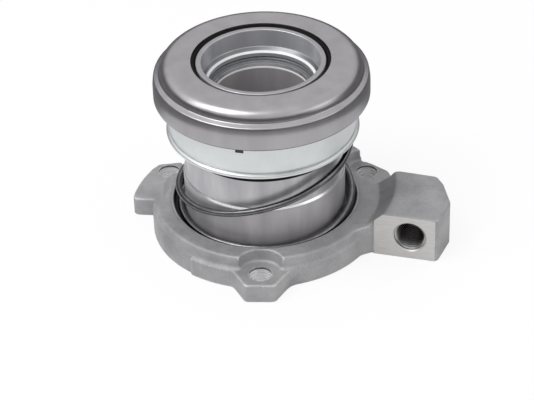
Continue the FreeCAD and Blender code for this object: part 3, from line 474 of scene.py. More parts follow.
def joined(shapes):
    """Several closed shapes in one mesh."""
    whole = bmesh.new()
    for shape in shapes:
        mesh = bpy.data.meshes.new("part")
        shape.to_mesh(mesh)
        shape.free()
        whole.from_mesh(mesh)
        bpy.data.meshes.remove(mesh)
    return whole


print("booleans use the exact solver")

# %% [markdown]
# ## Release bearing
# The outer ring is one piece of steel with a flat face for the clutch fingers, a generous
# round at the face's edge, a short neck, a sloping step and a slightly crowned wall. The inner
# ring is seen through it: a thin wall that ends in a ledge over the piston, with a cone above
# the ledge. Between the two stands a black seal. The raceways inside are spun too, so the
# section is right although it is hidden.

# %% Outer ring
WALL_R, _, TOP = size_of("bearing_outer_ring")
SHIELD_R, _, SHIELD_TOP = size_of("rear_shield")
SEAL_R, SEAL_LOW, SEAL_TOP = size_of("front_seal")
RACE_R, RACE_Z = 25.6, 53.55   # circle of the balls and its height
RACE_GROOVE = 3.3
SHOULDER = 3.6                 # round between the contact face and the ring's neck
RING_NECK_R, STEP_TOP = 31.45, 56.8
# The wall is slightly crowned: over its upper half it leans in by 0.4 mm.
CROWN = [(33.1, 56.05), (33.28, 55.1), (33.4, 54.2), (33.48, 53.4), (WALL_R, 52.4)]
FOOT = 48.3                    # lower edge of the wall
FACE_UNDER = 56.95             # underside of the contact face
UNDERSIDE_SHADE_TOP = 48.8                # the painted shade on the underside ends here


def race_arc(start, stop):
    """Corners along the ball groove."""
    return arc((RACE_R, RACE_Z), RACE_GROOVE, start, stop)


outer_section = (
    [(SEAL_R, TOP)]
    + arc((RING_NECK_R - SHOULDER, TOP - SHOULDER), SHOULDER, 90, 4, 14)
    + [(RING_NECK_R, STEP_TOP)]
    + CROWN
    + [(WALL_R, FOOT), (SHIELD_R, FOOT), (SHIELD_R, SHIELD_TOP), (28.9, SHIELD_TOP)]
    + race_arc(2, 70)
    + [(26.5, FACE_UNDER), (SEAL_R, FACE_UNDER)])
step = outer_section.index((RING_NECK_R, STEP_TOP))
foot = outer_section.index((WALL_R, FOOT))
outer_bevels = [(step, 0.3, 3), (step + 1, 0.3, 3), (foot, 0.8, 5), (0, 0.15, 2),
                (foot + 1, 0.2, 2)]
bm = spun(outer_section, outer_bevels)
# The faces low on the wall and under the ring get the painted shade.
paint(bm, lambda height, reach: int(height < UNDERSIDE_SHADE_TOP))
finish_piece(bm, "bearing_outer", [ground_face, underside_shade_steel], "outer_race",
             ["bearing_outer_ring"])

# %% Inner ring
INNER_FOOT_R, SEAT, LIP_TOP = size_of("bearing_inner_ring")
PILOT_R = 21.6                 # the ring's hole round the piston
LIP_IN, LIP_OUT = 18.3, 20.0   # thin wall inside the seal
CONE_TOP, CONE_LOW, CONE_IN = 54.0, 53.0, 17.3
LEDGE_R, LEDGE_TOP, LEDGE_UNDER = 16.5, 52.7, SHIELD_TOP
inner_section = [
    (PILOT_R, SEAT), (INNER_FOOT_R, SEAT), (INNER_FOOT_R, 49.35), (27.2, 49.35),
    (27.0, 50.4)] + race_arc(-66, -178)[1:] + [
    (22.6, 53.95), (LIP_OUT, 55.95), (LIP_OUT, LIP_TOP), (LIP_IN, LIP_TOP), (LIP_IN, CONE_TOP),
    (CONE_IN, CONE_LOW), (LEDGE_R, LEDGE_TOP), (LEDGE_R, LEDGE_UNDER), (PILOT_R, LEDGE_UNDER)]
lip = inner_section.index((LIP_OUT, LIP_TOP))
inner_bevels = [(lip, 0.3, 3), (lip + 1, 0.3, 3), (lip + 2, 0.15, 2), (lip + 3, 0.3, 3),
                (lip + 4, 0.2, 3), (lip + 5, 0.15, 2)]


def inner_finish(height, reach):
    """0 is the bore, 1 the cone in painted shade, 2 the end face of the lip and 3 the ledge's edge
    with a painted highlight.
    """
    if CONE_LOW + 0.1 < height < CONE_TOP - 0.05 and CONE_IN < reach < LIP_IN:
        return 1
    if height > LIP_TOP - 0.03:
        return 2
    return 3 if 52.3 < height < 52.95 and reach < 17.2 else 0


bm = spun(inner_section, inner_bevels)
paint(bm, inner_finish)
finish_piece(bm, "bearing_inner", [turned_bore, ledge_cone_shade, ground_face, edge_highlight_steel],
             "carriage", ["bearing_inner_ring"])

# %% Front seal
SEAL_IN = 20.05
seal_section = [(SEAL_IN, SEAL_LOW), (SEAL_R, SEAL_LOW), (SEAL_R, SEAL_TOP), (20.95, SEAL_TOP),
                (20.5, 59.5), (SEAL_IN, 58.85)]
finish_piece(spun(seal_section, [(3, 0.2, 3)]), "bearing_front_seal", [rubber], "outer_race",
             ["front_seal"])

# %% [markdown]
# ## Spring cup
# The cup is drawn sheet: a flat web under the bearing, a rounded shoulder, a plain skirt and,
# over a fine groove, an out-turned lip at its foot. Three small windows under the shoulder leave
# tongues that clip over the bearing ring. The shell is spun, and small sectors of a ring, spun
# through a few degrees only, are cut out of it for the windows and joined to it for the tongues.

# %% Cup shell
CUP_SHEET = 0.75
CUP_IN = 28.45
CUP_OUT = CUP_IN + CUP_SHEET
CUP_HOLE = 20.1
WEB_UNDER = SEAT - CUP_SHEET
CUP_LIP_R, CUP_FOOT, _ = size_of("spring_cup")
GROOVE_LOW, GROOVE_TOP, GROOVE_FLOOR = 37.6, 37.95, 28.95
cup_section = [
    (CUP_HOLE, WEB_UNDER), (CUP_IN, WEB_UNDER), (CUP_IN, CUP_FOOT), (CUP_LIP_R, CUP_FOOT),
    (CUP_LIP_R, 37.1), (29.35, GROOVE_LOW), (GROOVE_FLOOR, GROOVE_LOW),
    (GROOVE_FLOOR, GROOVE_TOP), (CUP_OUT, 38.1), (CUP_OUT, SEAT), (CUP_HOLE, SEAT)]
cup_bevels = [(9, 1.4, 6), (1, 0.65, 4), (2, 0.5, 4), (3, 0.25, 3), (4, 0.3, 3), (5, 0.1, 2)]
cup_mesh = spun(cup_section, cup_bevels, FINE_STEPS)
# Faces under the lip and under the web get the painted shade.
for face in cup_mesh.faces:
    centre = face.calc_center_median() / MM
    under = centre.z < CUP_FOOT + 0.25 and face.normal.z < -0.3
    inside = centre.z < WEB_UNDER + 0.1 and centre.xy.length < CUP_IN + 0.35
    face.material_index = int(under or inside)
print("cup shell faces:", len(cup_mesh.faces))

# %% Windows and tongues
WINDOWS = 3
WINDOW_FROM, WINDOW_SWEEP = -107.0, 5.0   # degrees
TONGUE_PLAY = 0.2                         # degrees left free at each side of a tongue
through_wall = [(27.6, 44.8), (30.6, 44.8), (30.6, 47.3), (27.6, 47.3)]
tongue_section = [(28.5, 47.2), (29.15, 47.2), (29.15, 50.0), (27.2, 50.0), (27.2, 49.4),
                  (28.5, 49.4)]
for number in range(WINDOWS):
    start = WINDOW_FROM + 360 / WINDOWS * number
    opening = sector(through_wall, start, WINDOW_SWEEP)
    cup_mesh = carved(cup_mesh, opening, "DIFFERENCE")
    tongue = sector(tongue_section, start + TONGUE_PLAY, WINDOW_SWEEP - 2 * TONGUE_PLAY)
    cup_mesh = carved(cup_mesh, tongue, "UNION")
finish_piece(cup_mesh, "spring_cup_shell", [zinc_sheet, zinc_shade], "carriage",
             ["spring_cup"])

# %% [markdown]
# ## Piston and guide tube
# Looking down the bore one sees the dark nose of the piston and the bevelled mouth of the guide
# tube, whose rims carry a painted highlight and whose bevel a painted shade. Both are spun. The
# piston's skirt has three grooves, which a loop puts into the section. The photograph shows
# bright metal in the bore of the nose, so that wall gets turned steel, like a sleeve.

# %% Piston
PISTON_R, PISTON_LOW, NOSE_TOP = size_of("piston")
PISTON_IN, NOSE_IN, NOSE_OUT, NOSE_FOOT = 15.45, 16.1, 19.9, 46.6
GROOVES, GROOVE_FROM, GROOVE_PITCH, GROOVE_H, GROOVE_R = 3, 31.9, 5.6, 1.6, 21.45
SHOULDER_Z = 47.1   # the disc spring and its clip sit over it
CLIP_R, CLIP_LOW, CLIP_TOP = 19.2, 49.0, 49.9
skirt = []
for low in (GROOVE_FROM + GROOVE_PITCH * i for i in range(GROOVES)):
    skirt += [(PISTON_R, low), (GROOVE_R, low), (GROOVE_R, low + GROOVE_H),
              (PISTON_R, low + GROOVE_H)]
piston_section = [(PISTON_IN, PISTON_LOW), (PISTON_R, PISTON_LOW)] + skirt + [
    (PISTON_R, SHOULDER_Z), (NOSE_OUT, SHOULDER_Z), (NOSE_OUT, CLIP_LOW), (CLIP_R, CLIP_LOW),
    (CLIP_R, CLIP_TOP), (NOSE_OUT, CLIP_TOP), (NOSE_OUT, NOSE_TOP), (NOSE_IN, NOSE_TOP),
    (NOSE_IN, NOSE_FOOT), (PISTON_IN, NOSE_FOOT)]
nose = piston_section.index((NOSE_OUT, NOSE_TOP))
bm = spun(piston_section, [(nose, 0.4, 3), (nose + 1, 0.9, 3), (nose + 2, 0.2, 2)])
paint(bm, lambda height, reach: int(
    NOSE_FOOT - 0.1 < height < NOSE_TOP - 0.7 and reach < NOSE_IN + 0.2))
finish_piece(bm, "ring_piston", [dark_nylon, turned_bore], "carriage",
             ["piston"])

# %% Guide tube
FLANGE_R, _, TUBE_TOP = size_of("guide_tube")
_, RING_LOW, RING_TOP = size_of("tube_snap_ring")
TUBE_IN, TUBE_R, FLANGE_T = 14.65, 15.4, 1.6
RING_GROOVE_R = 15.0
MOUTH_R, MOUTH_LOW = 15.25, 48.4            # the bevelled mouth
SHAFT_SEAL_R, SHAFT_SEAL_TOP = 14.95, 7.0   # counterbore for the seal on the shaft
tube_section = [
    (SHAFT_SEAL_R, 0.0), (FLANGE_R, 0.0), (FLANGE_R, FLANGE_T), (TUBE_R, FLANGE_T),
    (TUBE_R, RING_LOW), (RING_GROOVE_R, RING_LOW), (RING_GROOVE_R, RING_TOP),
    (TUBE_R, RING_TOP), (TUBE_R, TUBE_TOP), (MOUTH_R, TUBE_TOP), (TUBE_IN, MOUTH_LOW),
    (TUBE_IN, SHAFT_SEAL_TOP), (SHAFT_SEAL_R, SHAFT_SEAL_TOP)]


def tube_finish(height, reach):
    """0 is the drawn wall, 1 the rims of the mouth with a painted highlight and 2 the bevel
    between them in painted shade.
    """
    on_cone = MOUTH_LOW + 0.35 < height < TUBE_TOP - 0.2 and reach < 15.3
    return int(height > MOUTH_LOW - 0.3) + int(on_cone)


bm = spun(tube_section, [(8, 0.14, 2), (9, 0.14, 2), (10, 0.4, 4), (3, 0.4, 3)])
paint(bm, tube_finish)
finish_piece(bm, "guide_tube_drawn", [tube_steel, edge_highlight_steel, tube_bevel_shade], "casting",
             ["guide_tube"])

# %% [markdown]
# ## Cylinder and well
# The middle of the casting is machined: the cylinder that the piston slides in, its thinner
# neck, the round well that the spring stands in and the underside with its groove for the
# sealing ring. It is spun, so its edges stay as crisp as a lathe leaves them. The floor and wall
# of the well and the top of the neck get a nearly black painted shade, the chamfer below the
# neck a painted highlight, and the lower wall a finish of its own.

# %% Machined middle
CYLINDER_TOP = size_of("housing")[2]
WIPER_R, WIPER_LOW, WIPER_TOP = size_of("cylinder_wiper")
ORING_R, ORING_LOW, ORING_TOP = size_of("tube_oring")
DECK = 10.2
WELL_OUT, WELL_FLOOR = 29.15, 7.5
WALL_OUT, WALL_TOP = 25.5, 21.2     # the thick lower part of the cylinder
NECK_R, NECK_LOW = 24.9, 22.0
BORE_R, BORE_FLOOR = 22.0, 3.8
TUBE_HOLE = TUBE_R + 0.02
FLANGE_HOLE = FLANGE_R + 0.1
FOOT_R, FOOT_TOP = 33.45, 2.5       # ring of the machined underside
BASE_IN, BASE_OUT, BASE_TOP = 29.7, 32.3, 2.0   # groove of the sealing ring
SLEEVE_R = 29.85                    # outside of the well's wall, hidden in the cast metal
middle_section = [
    (FLANGE_HOLE, 0.0), (BASE_IN, 0.0), (BASE_IN, BASE_TOP), (BASE_OUT, BASE_TOP),
    (BASE_OUT, 0.0), (FOOT_R, 0.0), (FOOT_R, FOOT_TOP), (SLEEVE_R, FOOT_TOP),
    (SLEEVE_R, DECK), (29.45, DECK), (WELL_OUT, 9.9), (WELL_OUT, WELL_FLOOR),
    (WALL_OUT, WELL_FLOOR), (WALL_OUT, WALL_TOP), (NECK_R, NECK_LOW), (NECK_R, CYLINDER_TOP),
    (BORE_R, CYLINDER_TOP), (BORE_R, WIPER_TOP), (WIPER_R, WIPER_TOP), (WIPER_R, WIPER_LOW),
    (BORE_R, WIPER_LOW), (BORE_R, BORE_FLOOR), (19.6, BORE_FLOOR), (19.6, 6.0),
    (TUBE_HOLE, 6.0), (TUBE_HOLE, ORING_TOP), (ORING_R, ORING_TOP), (ORING_R, ORING_LOW),
    (TUBE_HOLE, ORING_LOW), (TUBE_HOLE, FLANGE_T), (FLANGE_HOLE, FLANGE_T)]
middle_bevels = [(11, 0.5, 3), (12, 0.5, 3), (13, 0.2, 2), (14, 0.2, 2), (15, 1.2, 1)]


def middle_finish(height, reach):
    """0 is the neck, 1 the lower wall, 2 the painted shade and 3 the chamfer's painted highlight.
    """
    if (height < 10 and WALL_OUT + 0.2 < reach < 29.2) or height > 31.9:
        return 2
    if WALL_TOP + 0.05 < height < NECK_LOW - 0.05 and reach > NECK_R + 0.05:
        return 3
    return int(height < 21.6)


bm = spun(middle_section, middle_bevels, FINE_STEPS)
paint(bm, middle_finish)
finish_piece(bm, "cylinder_and_well", [neck_wall, cylinder_wall, well_shade, chamfer_highlight],
             "casting", ["housing"])

# %% [markdown]
# ## Raw casting
# The flange, the ears and the port block are as cast, and a casting has no sharp edge: the
# mould's corners are rounded and the metal's skin is a little uneven. The solid has the right
# form with sharp edges, so a merged copy of its mesh is the start. The turned middle is
# cut out, the holes are plugged, and a remesh to small cells with a light smoothing rounds
# every edge by about half a millimetre. Then it is machined like the real one: a mill takes
# the spare metal off the port's face and the underside, and drills cut the holes. Each tool
# leaves its own material on the faces that it cuts.

# %% Places on the casting
BLOCK_TURN = math.radians(PORT_TURN)
ALONG = Vector((math.cos(BLOCK_TURN), math.sin(BLOCK_TURN), 0))    # along the port's face
INWARD = Vector((-math.sin(BLOCK_TURN), math.cos(BLOCK_TURN), 0))  # into the port
PORT_ALONG, PORT_FACE, PORT_Z = 49.0, 9.9, 7.95
PORT = ALONG * PORT_ALONG * MM - INWARD * PORT_FACE * MM + Vector((0, 0, PORT_Z * MM))
PORT_R, PORT_MOUTH_R = 4.98, 5.4    # the drilled port and its countersunk mouth
PORT_DEPTH, PORT_TIP = 13.6, 15.5   # how deep it is, and how deep the drill's tip went
BOLTS = [math.radians(a) for a in (26.6, 146.6, 266.6)]
BOLT_CIRCLE, HOLE_R, BOLT_SEAT = 37.3, 3.5, 6.2
HUBS = [Vector((BOLT_CIRCLE * MM * math.cos(t), BOLT_CIRCLE * MM * math.sin(t), 0))
        for t in BOLTS]
DUCT_TURN = math.radians(-9.0)
DUCT = Vector((math.cos(DUCT_TURN), math.sin(DUCT_TURN), 0))
DUCT_START = Vector((0, 0, 5.2 * MM))
DUCT_R = 1.78
UP = Vector((0, 0, 1))
print("port at", [round(x / MM, 1) for x in PORT], "mm")

# %% Shapes to cut out and to plug
SPARE = 1.2     # metal left for the mill on the port's face and the underside
OVERLAP = 0.4   # a plug reaches this far past the wall of its hole


def turned_on(place, axis, section, steps=48):
    """A closed turned shape on any axis. section: (reach, height along the axis) in mm."""
    bm = spun(section, steps=steps)
    turn = UP.rotation_difference(axis).to_matrix().to_4x4()
    bmesh.ops.transform(bm, matrix=Matrix.Translation(place) @ turn, verts=bm.verts)
    return bm


def rod(reach, low, high):
    """The half section of a plain rod."""
    return [(0, low), (reach, low), (reach, high), (0, high)]


def slab(low, high, turn=0.0):
    """A block between two corners in mm, turned round the axis."""
    low, high = Vector(low) * MM, Vector(high) * MM
    bm = bmesh.new()
    bmesh.ops.create_cube(bm, size=1.0, matrix=(
        Matrix.Rotation(turn, 4, "Z") @ Matrix.Translation((low + high) / 2)
        @ Matrix.Diagonal((*(high - low), 1.0))))
    return bm


plugs = [turned_on(hub, UP, rod(HOLE_R + OVERLAP, -1.0, BOLT_SEAT)) for hub in HUBS]
plugs.append(turned_on(PORT, INWARD, rod(PORT_MOUTH_R + OVERLAP, -SPARE, 17.0)))
plugs.append(turned_on(DUCT_START, DUCT, rod(2.2, 40.0, 56.6)))
# What this takes out, the turned middle fills.
cut_r, cut_top = FOOT_R + 0.05, FOOT_TOP - 0.05
middle = spun([(0, -2), (cut_r, -2), (cut_r, cut_top), (29.5, cut_top), (29.5, 40), (0, 40)],
              steps=FINE_STEPS)
print("plugs:", len(plugs))

# %% Tools that machine the casting
MILLED, PORT_BORE_SHADE, DRILLED, RIM_SHADE = 1, 2, 3, 4   # material numbers on the casting, 0 is the cast skin
RIM_FROM = 5.5   # height at which the painted shade on a bolt hole's rim begins
port_tool = turned_on(PORT, INWARD, [
    (0, -1.0), (PORT_MOUTH_R, -1.0), (PORT_MOUTH_R, 0.0), (PORT_R, PORT_MOUTH_R - PORT_R),
    (PORT_R, PORT_DEPTH), (0, PORT_TIP)])
drills = [turned_on(hub, UP, [(0, -1.0), (HOLE_R, -1.0), (HOLE_R, RIM_FROM), (HOLE_R, 12.0),
                              (0, 12.0)]) for hub in HUBS]
duct_drill = turned_on(DUCT_START, DUCT, rod(DUCT_R, 53.0, 62.0), steps=32)
mills = [slab((37.3, -15, -3), (63, -PORT_FACE, 20), BLOCK_TURN),
         slab((-80, -80, -5), (80, 80, 0))]


def mark(tool, pick):
    """Gives each face of a tool the material number that pick returns for its middle."""
    for face in tool.faces:
        face.material_index = pick(face.calc_center_median())


# Deeper in the port the faces get the painted shade; the face itself stays milled.
mark(port_tool, lambda place: PORT_BORE_SHADE if (place - PORT).dot(INWARD) > MM else MILLED)
mark(duct_drill, lambda place: DRILLED)
for tool in mills:
    mark(tool, lambda place: MILLED)
for tool in drills:
    # Near the rim a bolt hole's wall gets the painted shade, below it the pale painted light.
    mark(tool, lambda place: RIM_SHADE if place.z > RIM_FROM * MM else DRILLED)
tools = mills + [joined(drills + [duct_drill]), port_tool]
print("tools:", len(tools))

# %% Remeshed casting
CELL = 0.42     # mm, size of the remesh cells
UNEVEN = 0.03   # mm, how much the cast skin wanders


def cast_skin(bm):
    """Rounds the edges of a closed shape as a mould does."""
    raw = as_object(bm, "raw_casting")
    cells = raw.modifiers.new("cells", "REMESH")
    cells.mode = "VOXEL"
    cells.voxel_size = CELL * MM
    soft = raw.modifiers.new("soft", "SMOOTH")
    soft.factor = 0.5
    soft.iterations = 4
    return applied(raw)


bm = bmesh.new()
bm.from_mesh(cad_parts["housing"].data)
bmesh.ops.remove_doubles(bm, verts=bm.verts, dist=2e-6)
for vert in bm.verts:
    on_face = abs((vert.co - PORT).dot(INWARD)) < 0.02 * MM
    if on_face and vert.co.dot(ALONG) > 37 * MM:
        vert.co -= INWARD * SPARE * MM
    if vert.co.z < 0.02 * MM:
        vert.co.z -= SPARE * MM
bm = carved(bm, middle, "DIFFERENCE")
bm = cast_skin(joined([bm] + plugs))
for vert in bm.verts:
    unevenness = noise.noise(vert.co / (2.2 * MM)) + 0.5 * noise.noise(vert.co / (0.9 * MM))
    vert.co += vert.normal * unevenness * UNEVEN * MM
for tool in tools:
    bm = carved(bm, tool, "DIFFERENCE")
print("casting faces:", len(bm.faces))

# %% [markdown]
# ## Painted highlight on the edges
# The edges of the casting get a painted highlight. Each corner of the mesh is compared with the
# middle of its neighbours: where it stands proud, it lies on an edge. The value is kept as an
# attribute, evened out once with the neighbours' values, and the material mixes a lighter
# metal in by it as the painted highlight, broken up by the clouds of the cast skin.

# %% Edge attribute
PROUD_FROM, PROUD_GAIN, PROUD_MOST = 0.12, 17.0, 1.15


def mark_edges(bm):
    """Stores how far each corner of the mesh stands proud of its neighbours."""
    proud = bm.verts.layers.float.new(EDGE_ATTRIBUTE)
    for vert in bm.verts:
        around = [edge.other_vert(vert).co for edge in vert.link_edges]
        middle_of = sum(around, Vector()) / len(around)
        size = sum((other - vert.co).length for other in around) / len(around)
        bulge = (vert.co - middle_of).dot(vert.normal) / size
        vert[proud] = min(max((bulge - PROUD_FROM) * PROUD_GAIN, 0.0), PROUD_MOST)
    even = [sum(e.other_vert(v)[proud] for e in v.link_edges) / len(v.link_edges)
            for v in bm.verts]
    for vert, value in zip(bm.verts, even):
        vert[proud] = (vert[proud] + value) / 2


mark_edges(bm)
finish_piece(bm, "casting_body", [cast, milled, port_bore_shade, drilled, drilled_rim_shade], "casting",
             ["housing"], CASTING_SHARP)

# %% [markdown]
# ## Port thread
# The port takes the fitting of the oil line and has a fine 10 mm thread with a pitch of 1 mm.
# It is real geometry: a ridge with a narrow crest, carried round and forward by a spin with a
# step along the axis for each part of a turn. Its material gets painted light at the first turns
# and painted shade further in, so it changes with the depth in the port.

# %% Thread
PITCH, TURNS, PER_TURN = 1.0, 12, 40
ROOT_R, CREST_R = 5.02, 4.46
ROOT_HALF, CREST_HALF = 0.47, 0.1   # half widths of the ridge
THREAD_FROM = 0.75                  # depth of its first turn
LIT_FROM, LIT_TO = 1.0, 6.0         # the painted light at the thread's start turns to painted shade between these depths


def thread_ridge():
    """The ridge of the thread as one closed spiral. Its crest has a material of its own."""
    bm = bmesh.new()
    outline = [(ROOT_R, -ROOT_HALF), (CREST_R, -CREST_HALF), (CREST_R, CREST_HALF),
               (ROOT_R, ROOT_HALF)]
    start = PORT + INWARD * THREAD_FROM * MM
    bm.faces.new([bm.verts.new(start + Vector((0, 0, reach * MM)) + INWARD * along * MM)
                  for reach, along in outline])
    bmesh.ops.spin(
        bm, geom=bm.verts[:] + bm.edges[:] + bm.faces[:], cent=PORT, axis=INWARD,
        dvec=INWARD * PITCH * MM / PER_TURN, angle=math.tau * TURNS, steps=TURNS * PER_TURN)
    bmesh.ops.recalc_face_normals(bm, faces=bm.faces)
    for face in bm.faces:
        from_axis = [(v.co - PORT) - INWARD * (v.co - PORT).dot(INWARD) for v in face.verts]
        on_crest = max(v.length for v in from_axis) < (CREST_R + 0.05) * MM
        face.material_index = int(on_crest)
    return bm


def tapped_aluminium():
    """A thread cut in aluminium: painted light where it starts, painted shade further in."""
    material, tree, shader, where = start_material(
        "aluminium_tapped", metallic=0.8, roughness=0.25)
    depth = add(tree, "ShaderNodeVectorMath", {0: where, 1: INWARD}, operation="DOT_PRODUCT")
    share = add(tree, "ShaderNodeMapRange", {
        "Value": depth.outputs["Value"], "From Min": PORT.dot(INWARD) + LIT_FROM * MM,
        "From Max": PORT.dot(INWARD) + LIT_TO * MM})
    oil = add(tree, "ShaderNodeTexNoise", {
        "Vector": where, "Scale": per_mm(1.5), "Detail": 3.0}).outputs["Fac"]
    both = add(tree, "ShaderNodeMath", {0: oil, 1: 0.3, 2: share.outputs[0]},
               operation="MULTIPLY_ADD")
    base = add(tree, "ShaderNodeValToRGB", {"Fac": both.outputs[0]}, [
        (0.1, linear("b4b3b4")), (0.6, linear("5a595a")), (1.1, linear("2c2b2c"))])
    tree.links.new(base.outputs["Color"], shader.inputs["Base Color"])
    return material


# The crests get a painted highlight.
crest_highlight = machined_aluminium("aluminium_tapped_crest_painted_highlight", "8f8e90", "a1a0a2", 0.3, 0.9)
finish_piece(thread_ridge(), "port_thread", [tapped_aluminium(), crest_highlight], "casting",
             sharp=CASTING_SHARP)

# %% [markdown]
# ## Preload spring
# One spring stands between the casting and the cup and keeps the bearing against the clutch.
# Its solid has the right path, so its mesh is merged and kept as a piece of its own. Only its
# turn in the well lies a little to one side, as far as the well's width lets it.

# %% Spring
SIDE_SHIFT = 0.5                  # mm, how far the low turn lies to one side
SHIFT_ABOVE, SHIFT_FADE = 17, 8   # mm, the shift fades in downwards from this height
bm = bmesh.new()
bm.from_mesh(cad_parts["preload_spring"].data)
bmesh.ops.remove_doubles(bm, verts=bm.verts, dist=2e-6)
for vert in bm.verts:
    share = min(max((SHIFT_ABOVE - vert.co.z / MM) / SHIFT_FADE, 0.0), 1.0)
    vert.co.x += SIDE_SHIFT * MM * share * share * (3 - 2 * share)
spring = finish_piece(
    bm, "preload_spring_wire", [wire], "casting", ["preload_spring"])
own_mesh(spring)

# %% [markdown]
# ## Finishes on the solids that stay
# The other solids are small rings with the right shape already, so they keep their meshes and
# only get their materials.

# %% Materials on the solids
FINISHES = {
    "tube_snap_ring": stamped_steel, "tube_oring": rubber, "base_oring": rubber,
    "duct_ball": ball_steel, "shaft_seal_case": tube_steel, "shaft_seal_lip": rubber,
    "shaft_seal_spring": stamped_steel, "cylinder_wiper": rubber, "lip_seal": rubber,
    "seal_expander": dark_nylon, "disc_spring": stamped_steel, "piston_clip": stamped_steel,
    "rear_shield": tube_steel, "ball_cage": pale_nylon, "bearing_balls": ball_steel}
for node_name, material in FINISHES.items():
    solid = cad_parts[node_name]
    solid.data.materials.clear()
    solid.data.materials.append(material)
print("solids with new materials:", len(FINISHES))

# %% [markdown]
# ## Floor and surroundings
# The photograph is a catalogue picture on a white ground. The floor shines a little to the
# camera, so that it turns white and still keeps the shadow. The world is white to the camera
# and in reflections, and lights the part evenly. Polished steel shows what stands round it, and
# in a white world it would look like paint. So an open bowl of grey cloth stands round the
# part, and only reflections see it. Through the hole in its middle the floor shows like a
# small white table.

# %% Floor
FLOOR_HALF, FLOOR_DROP = 3.0, 0.1 * MM   # metres
FLOOR_WHITE = 0.86                       # share of plain white that the camera sees on it


def staged(bm, name, material, hidden_from=()):
    """Puts a bmesh into the scene as a part of the set. hidden_from: kinds of rays."""
    mesh = bpy.data.meshes.new(name)
    bm.to_mesh(mesh)
    bm.free()
    mesh.materials.append(material)
    thing = bpy.data.objects.new(name, mesh)
    bpy.context.scene.collection.objects.link(thing)
    for ray in hidden_from:
        setattr(thing, "visible_" + ray, False)


def white_ground():
    """White to the camera and soft where the shadow falls."""
    material, tree, shader, where = start_material(
        "floor_white", base_color=linear("f4f4f4"), roughness=0.6)
    rays = add(tree, "ShaderNodeLightPath")
    glow = add(tree, "ShaderNodeEmission", {"Color": (1, 1, 1, 1), "Strength": 1.0})
    share = add(tree, "ShaderNodeMath", {0: rays.outputs["Is Camera Ray"], 1: FLOOR_WHITE},
                operation="MULTIPLY")
    mixed = add(tree, "ShaderNodeMixShader", {
        0: share.outputs[0], 1: shader.outputs[0], 2: glow.outputs[0]})
    out = next(n for n in tree.nodes if n.type == "OUTPUT_MATERIAL")
    tree.links.new(mixed.outputs[0], out.inputs["Surface"])
    return material


bm = bmesh.new()
bmesh.ops.create_grid(bm, x_segments=1, y_segments=1, size=FLOOR_HALF)
bmesh.ops.translate(bm, verts=bm.verts, vec=(0, 0, -FLOOR_DROP))
staged(bm, "floor", white_ground())
print("floor", 2 * FLOOR_HALF, "m wide")

# %% Dark surround
TABLE_R, TABLE_Y = 0.13, -0.055   # metres, the hole's reach and how far it lies to the front
ROOM_R, ROOM_H = 1.5, 0.6         # metres, reach and height of the cloth
RAYS_THAT_MISS = ("camera", "diffuse", "transmission", "shadow")

bm = bmesh.new()
bmesh.ops.create_circle(bm, segments=64, radius=TABLE_R)
bmesh.ops.translate(bm, verts=bm.verts, vec=(0, TABLE_Y, 0))
rim = bm.edges[:]
for reach, height in ((ROOM_R, 0.0), (ROOM_R, ROOM_H)):
    grown = bmesh.ops.extrude_edge_only(bm, edges=rim)["geom"]
    rim = [item for item in grown if isinstance(item, bmesh.types.BMEdge)]
    for item in grown:
        if isinstance(item, bmesh.types.BMVert):
            item.co.xy = item.co.xy.normalized() * reach
            item.co.z = height
cloth = start_material("cloth_dark_grey", base_color=linear("7c7c7e"), roughness=0.9)[0]
staged(bm, "surround", cloth, RAYS_THAT_MISS)
print("surround", 2 * ROOM_R, "m wide")

# %% World
WORLD_LEVEL = 0.75   # strength of the even light, while the backdrop itself is 1

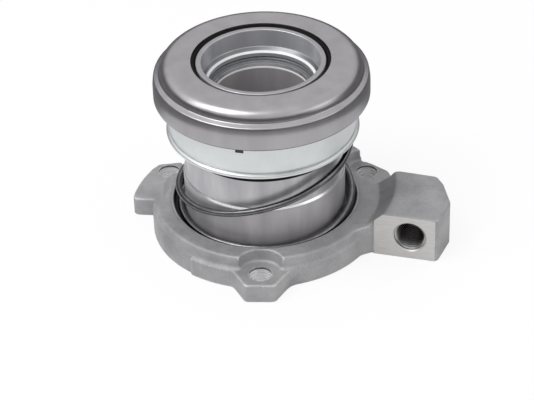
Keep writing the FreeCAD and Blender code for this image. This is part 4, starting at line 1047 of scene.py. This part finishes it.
world = bpy.data.worlds.new("studio")
world.use_nodes = True
tree = world.node_tree
tree.nodes.clear()
rays = add(tree, "ShaderNodeLightPath")
seen = add(tree, "ShaderNodeMath", {
    0: rays.outputs["Is Camera Ray"], 1: rays.outputs["Is Glossy Ray"]}, operation="MAXIMUM")
seen = add(tree, "ShaderNodeMath", {
    0: seen.outputs[0], 1: rays.outputs["Is Transmission Ray"]}, operation="MAXIMUM")
level = add(tree, "ShaderNodeMapRange", {
    "Value": seen.outputs[0], "To Min": WORLD_LEVEL, "To Max": 1.0})
backdrop = add(tree, "ShaderNodeBackground", {
    "Color": (1, 1, 1, 1), "Strength": level.outputs[0]})
add(tree, "ShaderNodeOutputWorld", {"Surface": backdrop.outputs[0]})
bpy.context.scene.world = world
print("even light at", WORLD_LEVEL)

# %% [markdown]
# ## Lamps and camera
# A large soft lamp above draws the long highlights on the steel. A second one from the right
# and a small one from the left open the shadows and put a gleam on the chamfer of the
# cylinder. The camera stands where the photograph's camera stood, found by fitting the four
# rims of the bearing, the flange and the tube.

# %% Lamps
def lamp(name, place, target, size, watts):
    """A rectangular soft lamp at a place, turned to its target. Sizes in metres."""
    light = bpy.data.lights.new(name, "AREA")
    light.shape = "RECTANGLE"
    light.size, light.size_y = size
    light.energy = watts
    holder = bpy.data.objects.new(name, light)
    bpy.context.scene.collection.objects.link(holder)
    holder.location = place
    aim = Vector(target) - Vector(place)
    holder.rotation_euler = aim.to_track_quat("-Z", "Y").to_euler()


lamp("soft_key", (-0.4, -0.2, 0.75), (0, 0, 0.03), (0.5, 0.5), 3.4)
lamp("soft_fill", (0.7, -0.28, 0.3), (0, 0, 0.03), (0.4, 0.5), 0.75)
lamp("soft_side", (-0.6, -0.12, 0.4), (0, 0, 0.02), (0.16, 0.24), 0.3)
print("lamps:", len(bpy.data.lights))

# %% Camera
CAMERA_PLACE = Vector((0.52, -550.5, 390.65)) * MM
CAMERA_TARGET = Vector((0.52, 0.0, 7.75)) * MM
CAMERA_ROLL = math.radians(-1.85)
PHOTO_WIDTH, FOCAL_PIXELS = 534, 2099   # both in pixels of the photograph
SENSOR = 36   # mm

camera_data = bpy.data.cameras.new("camera")
camera_data.sensor_width = SENSOR
camera_data.lens = FOCAL_PIXELS / PHOTO_WIDTH * SENSOR
camera_data.clip_start = 0.01
camera = bpy.data.objects.new("camera", camera_data)
bpy.context.scene.collection.objects.link(camera)
camera.location = CAMERA_PLACE
looking = (CAMERA_TARGET - CAMERA_PLACE).to_track_quat("-Z", "Y")
camera.rotation_mode = "QUATERNION"
camera.rotation_quaternion = looking @ Quaternion((0, 0, 1), CAMERA_ROLL)
bpy.context.scene.camera = camera
bpy.context.scene.view_settings.view_transform = "Standard"
print("camera at", [round(x, 4) for x in camera.location])
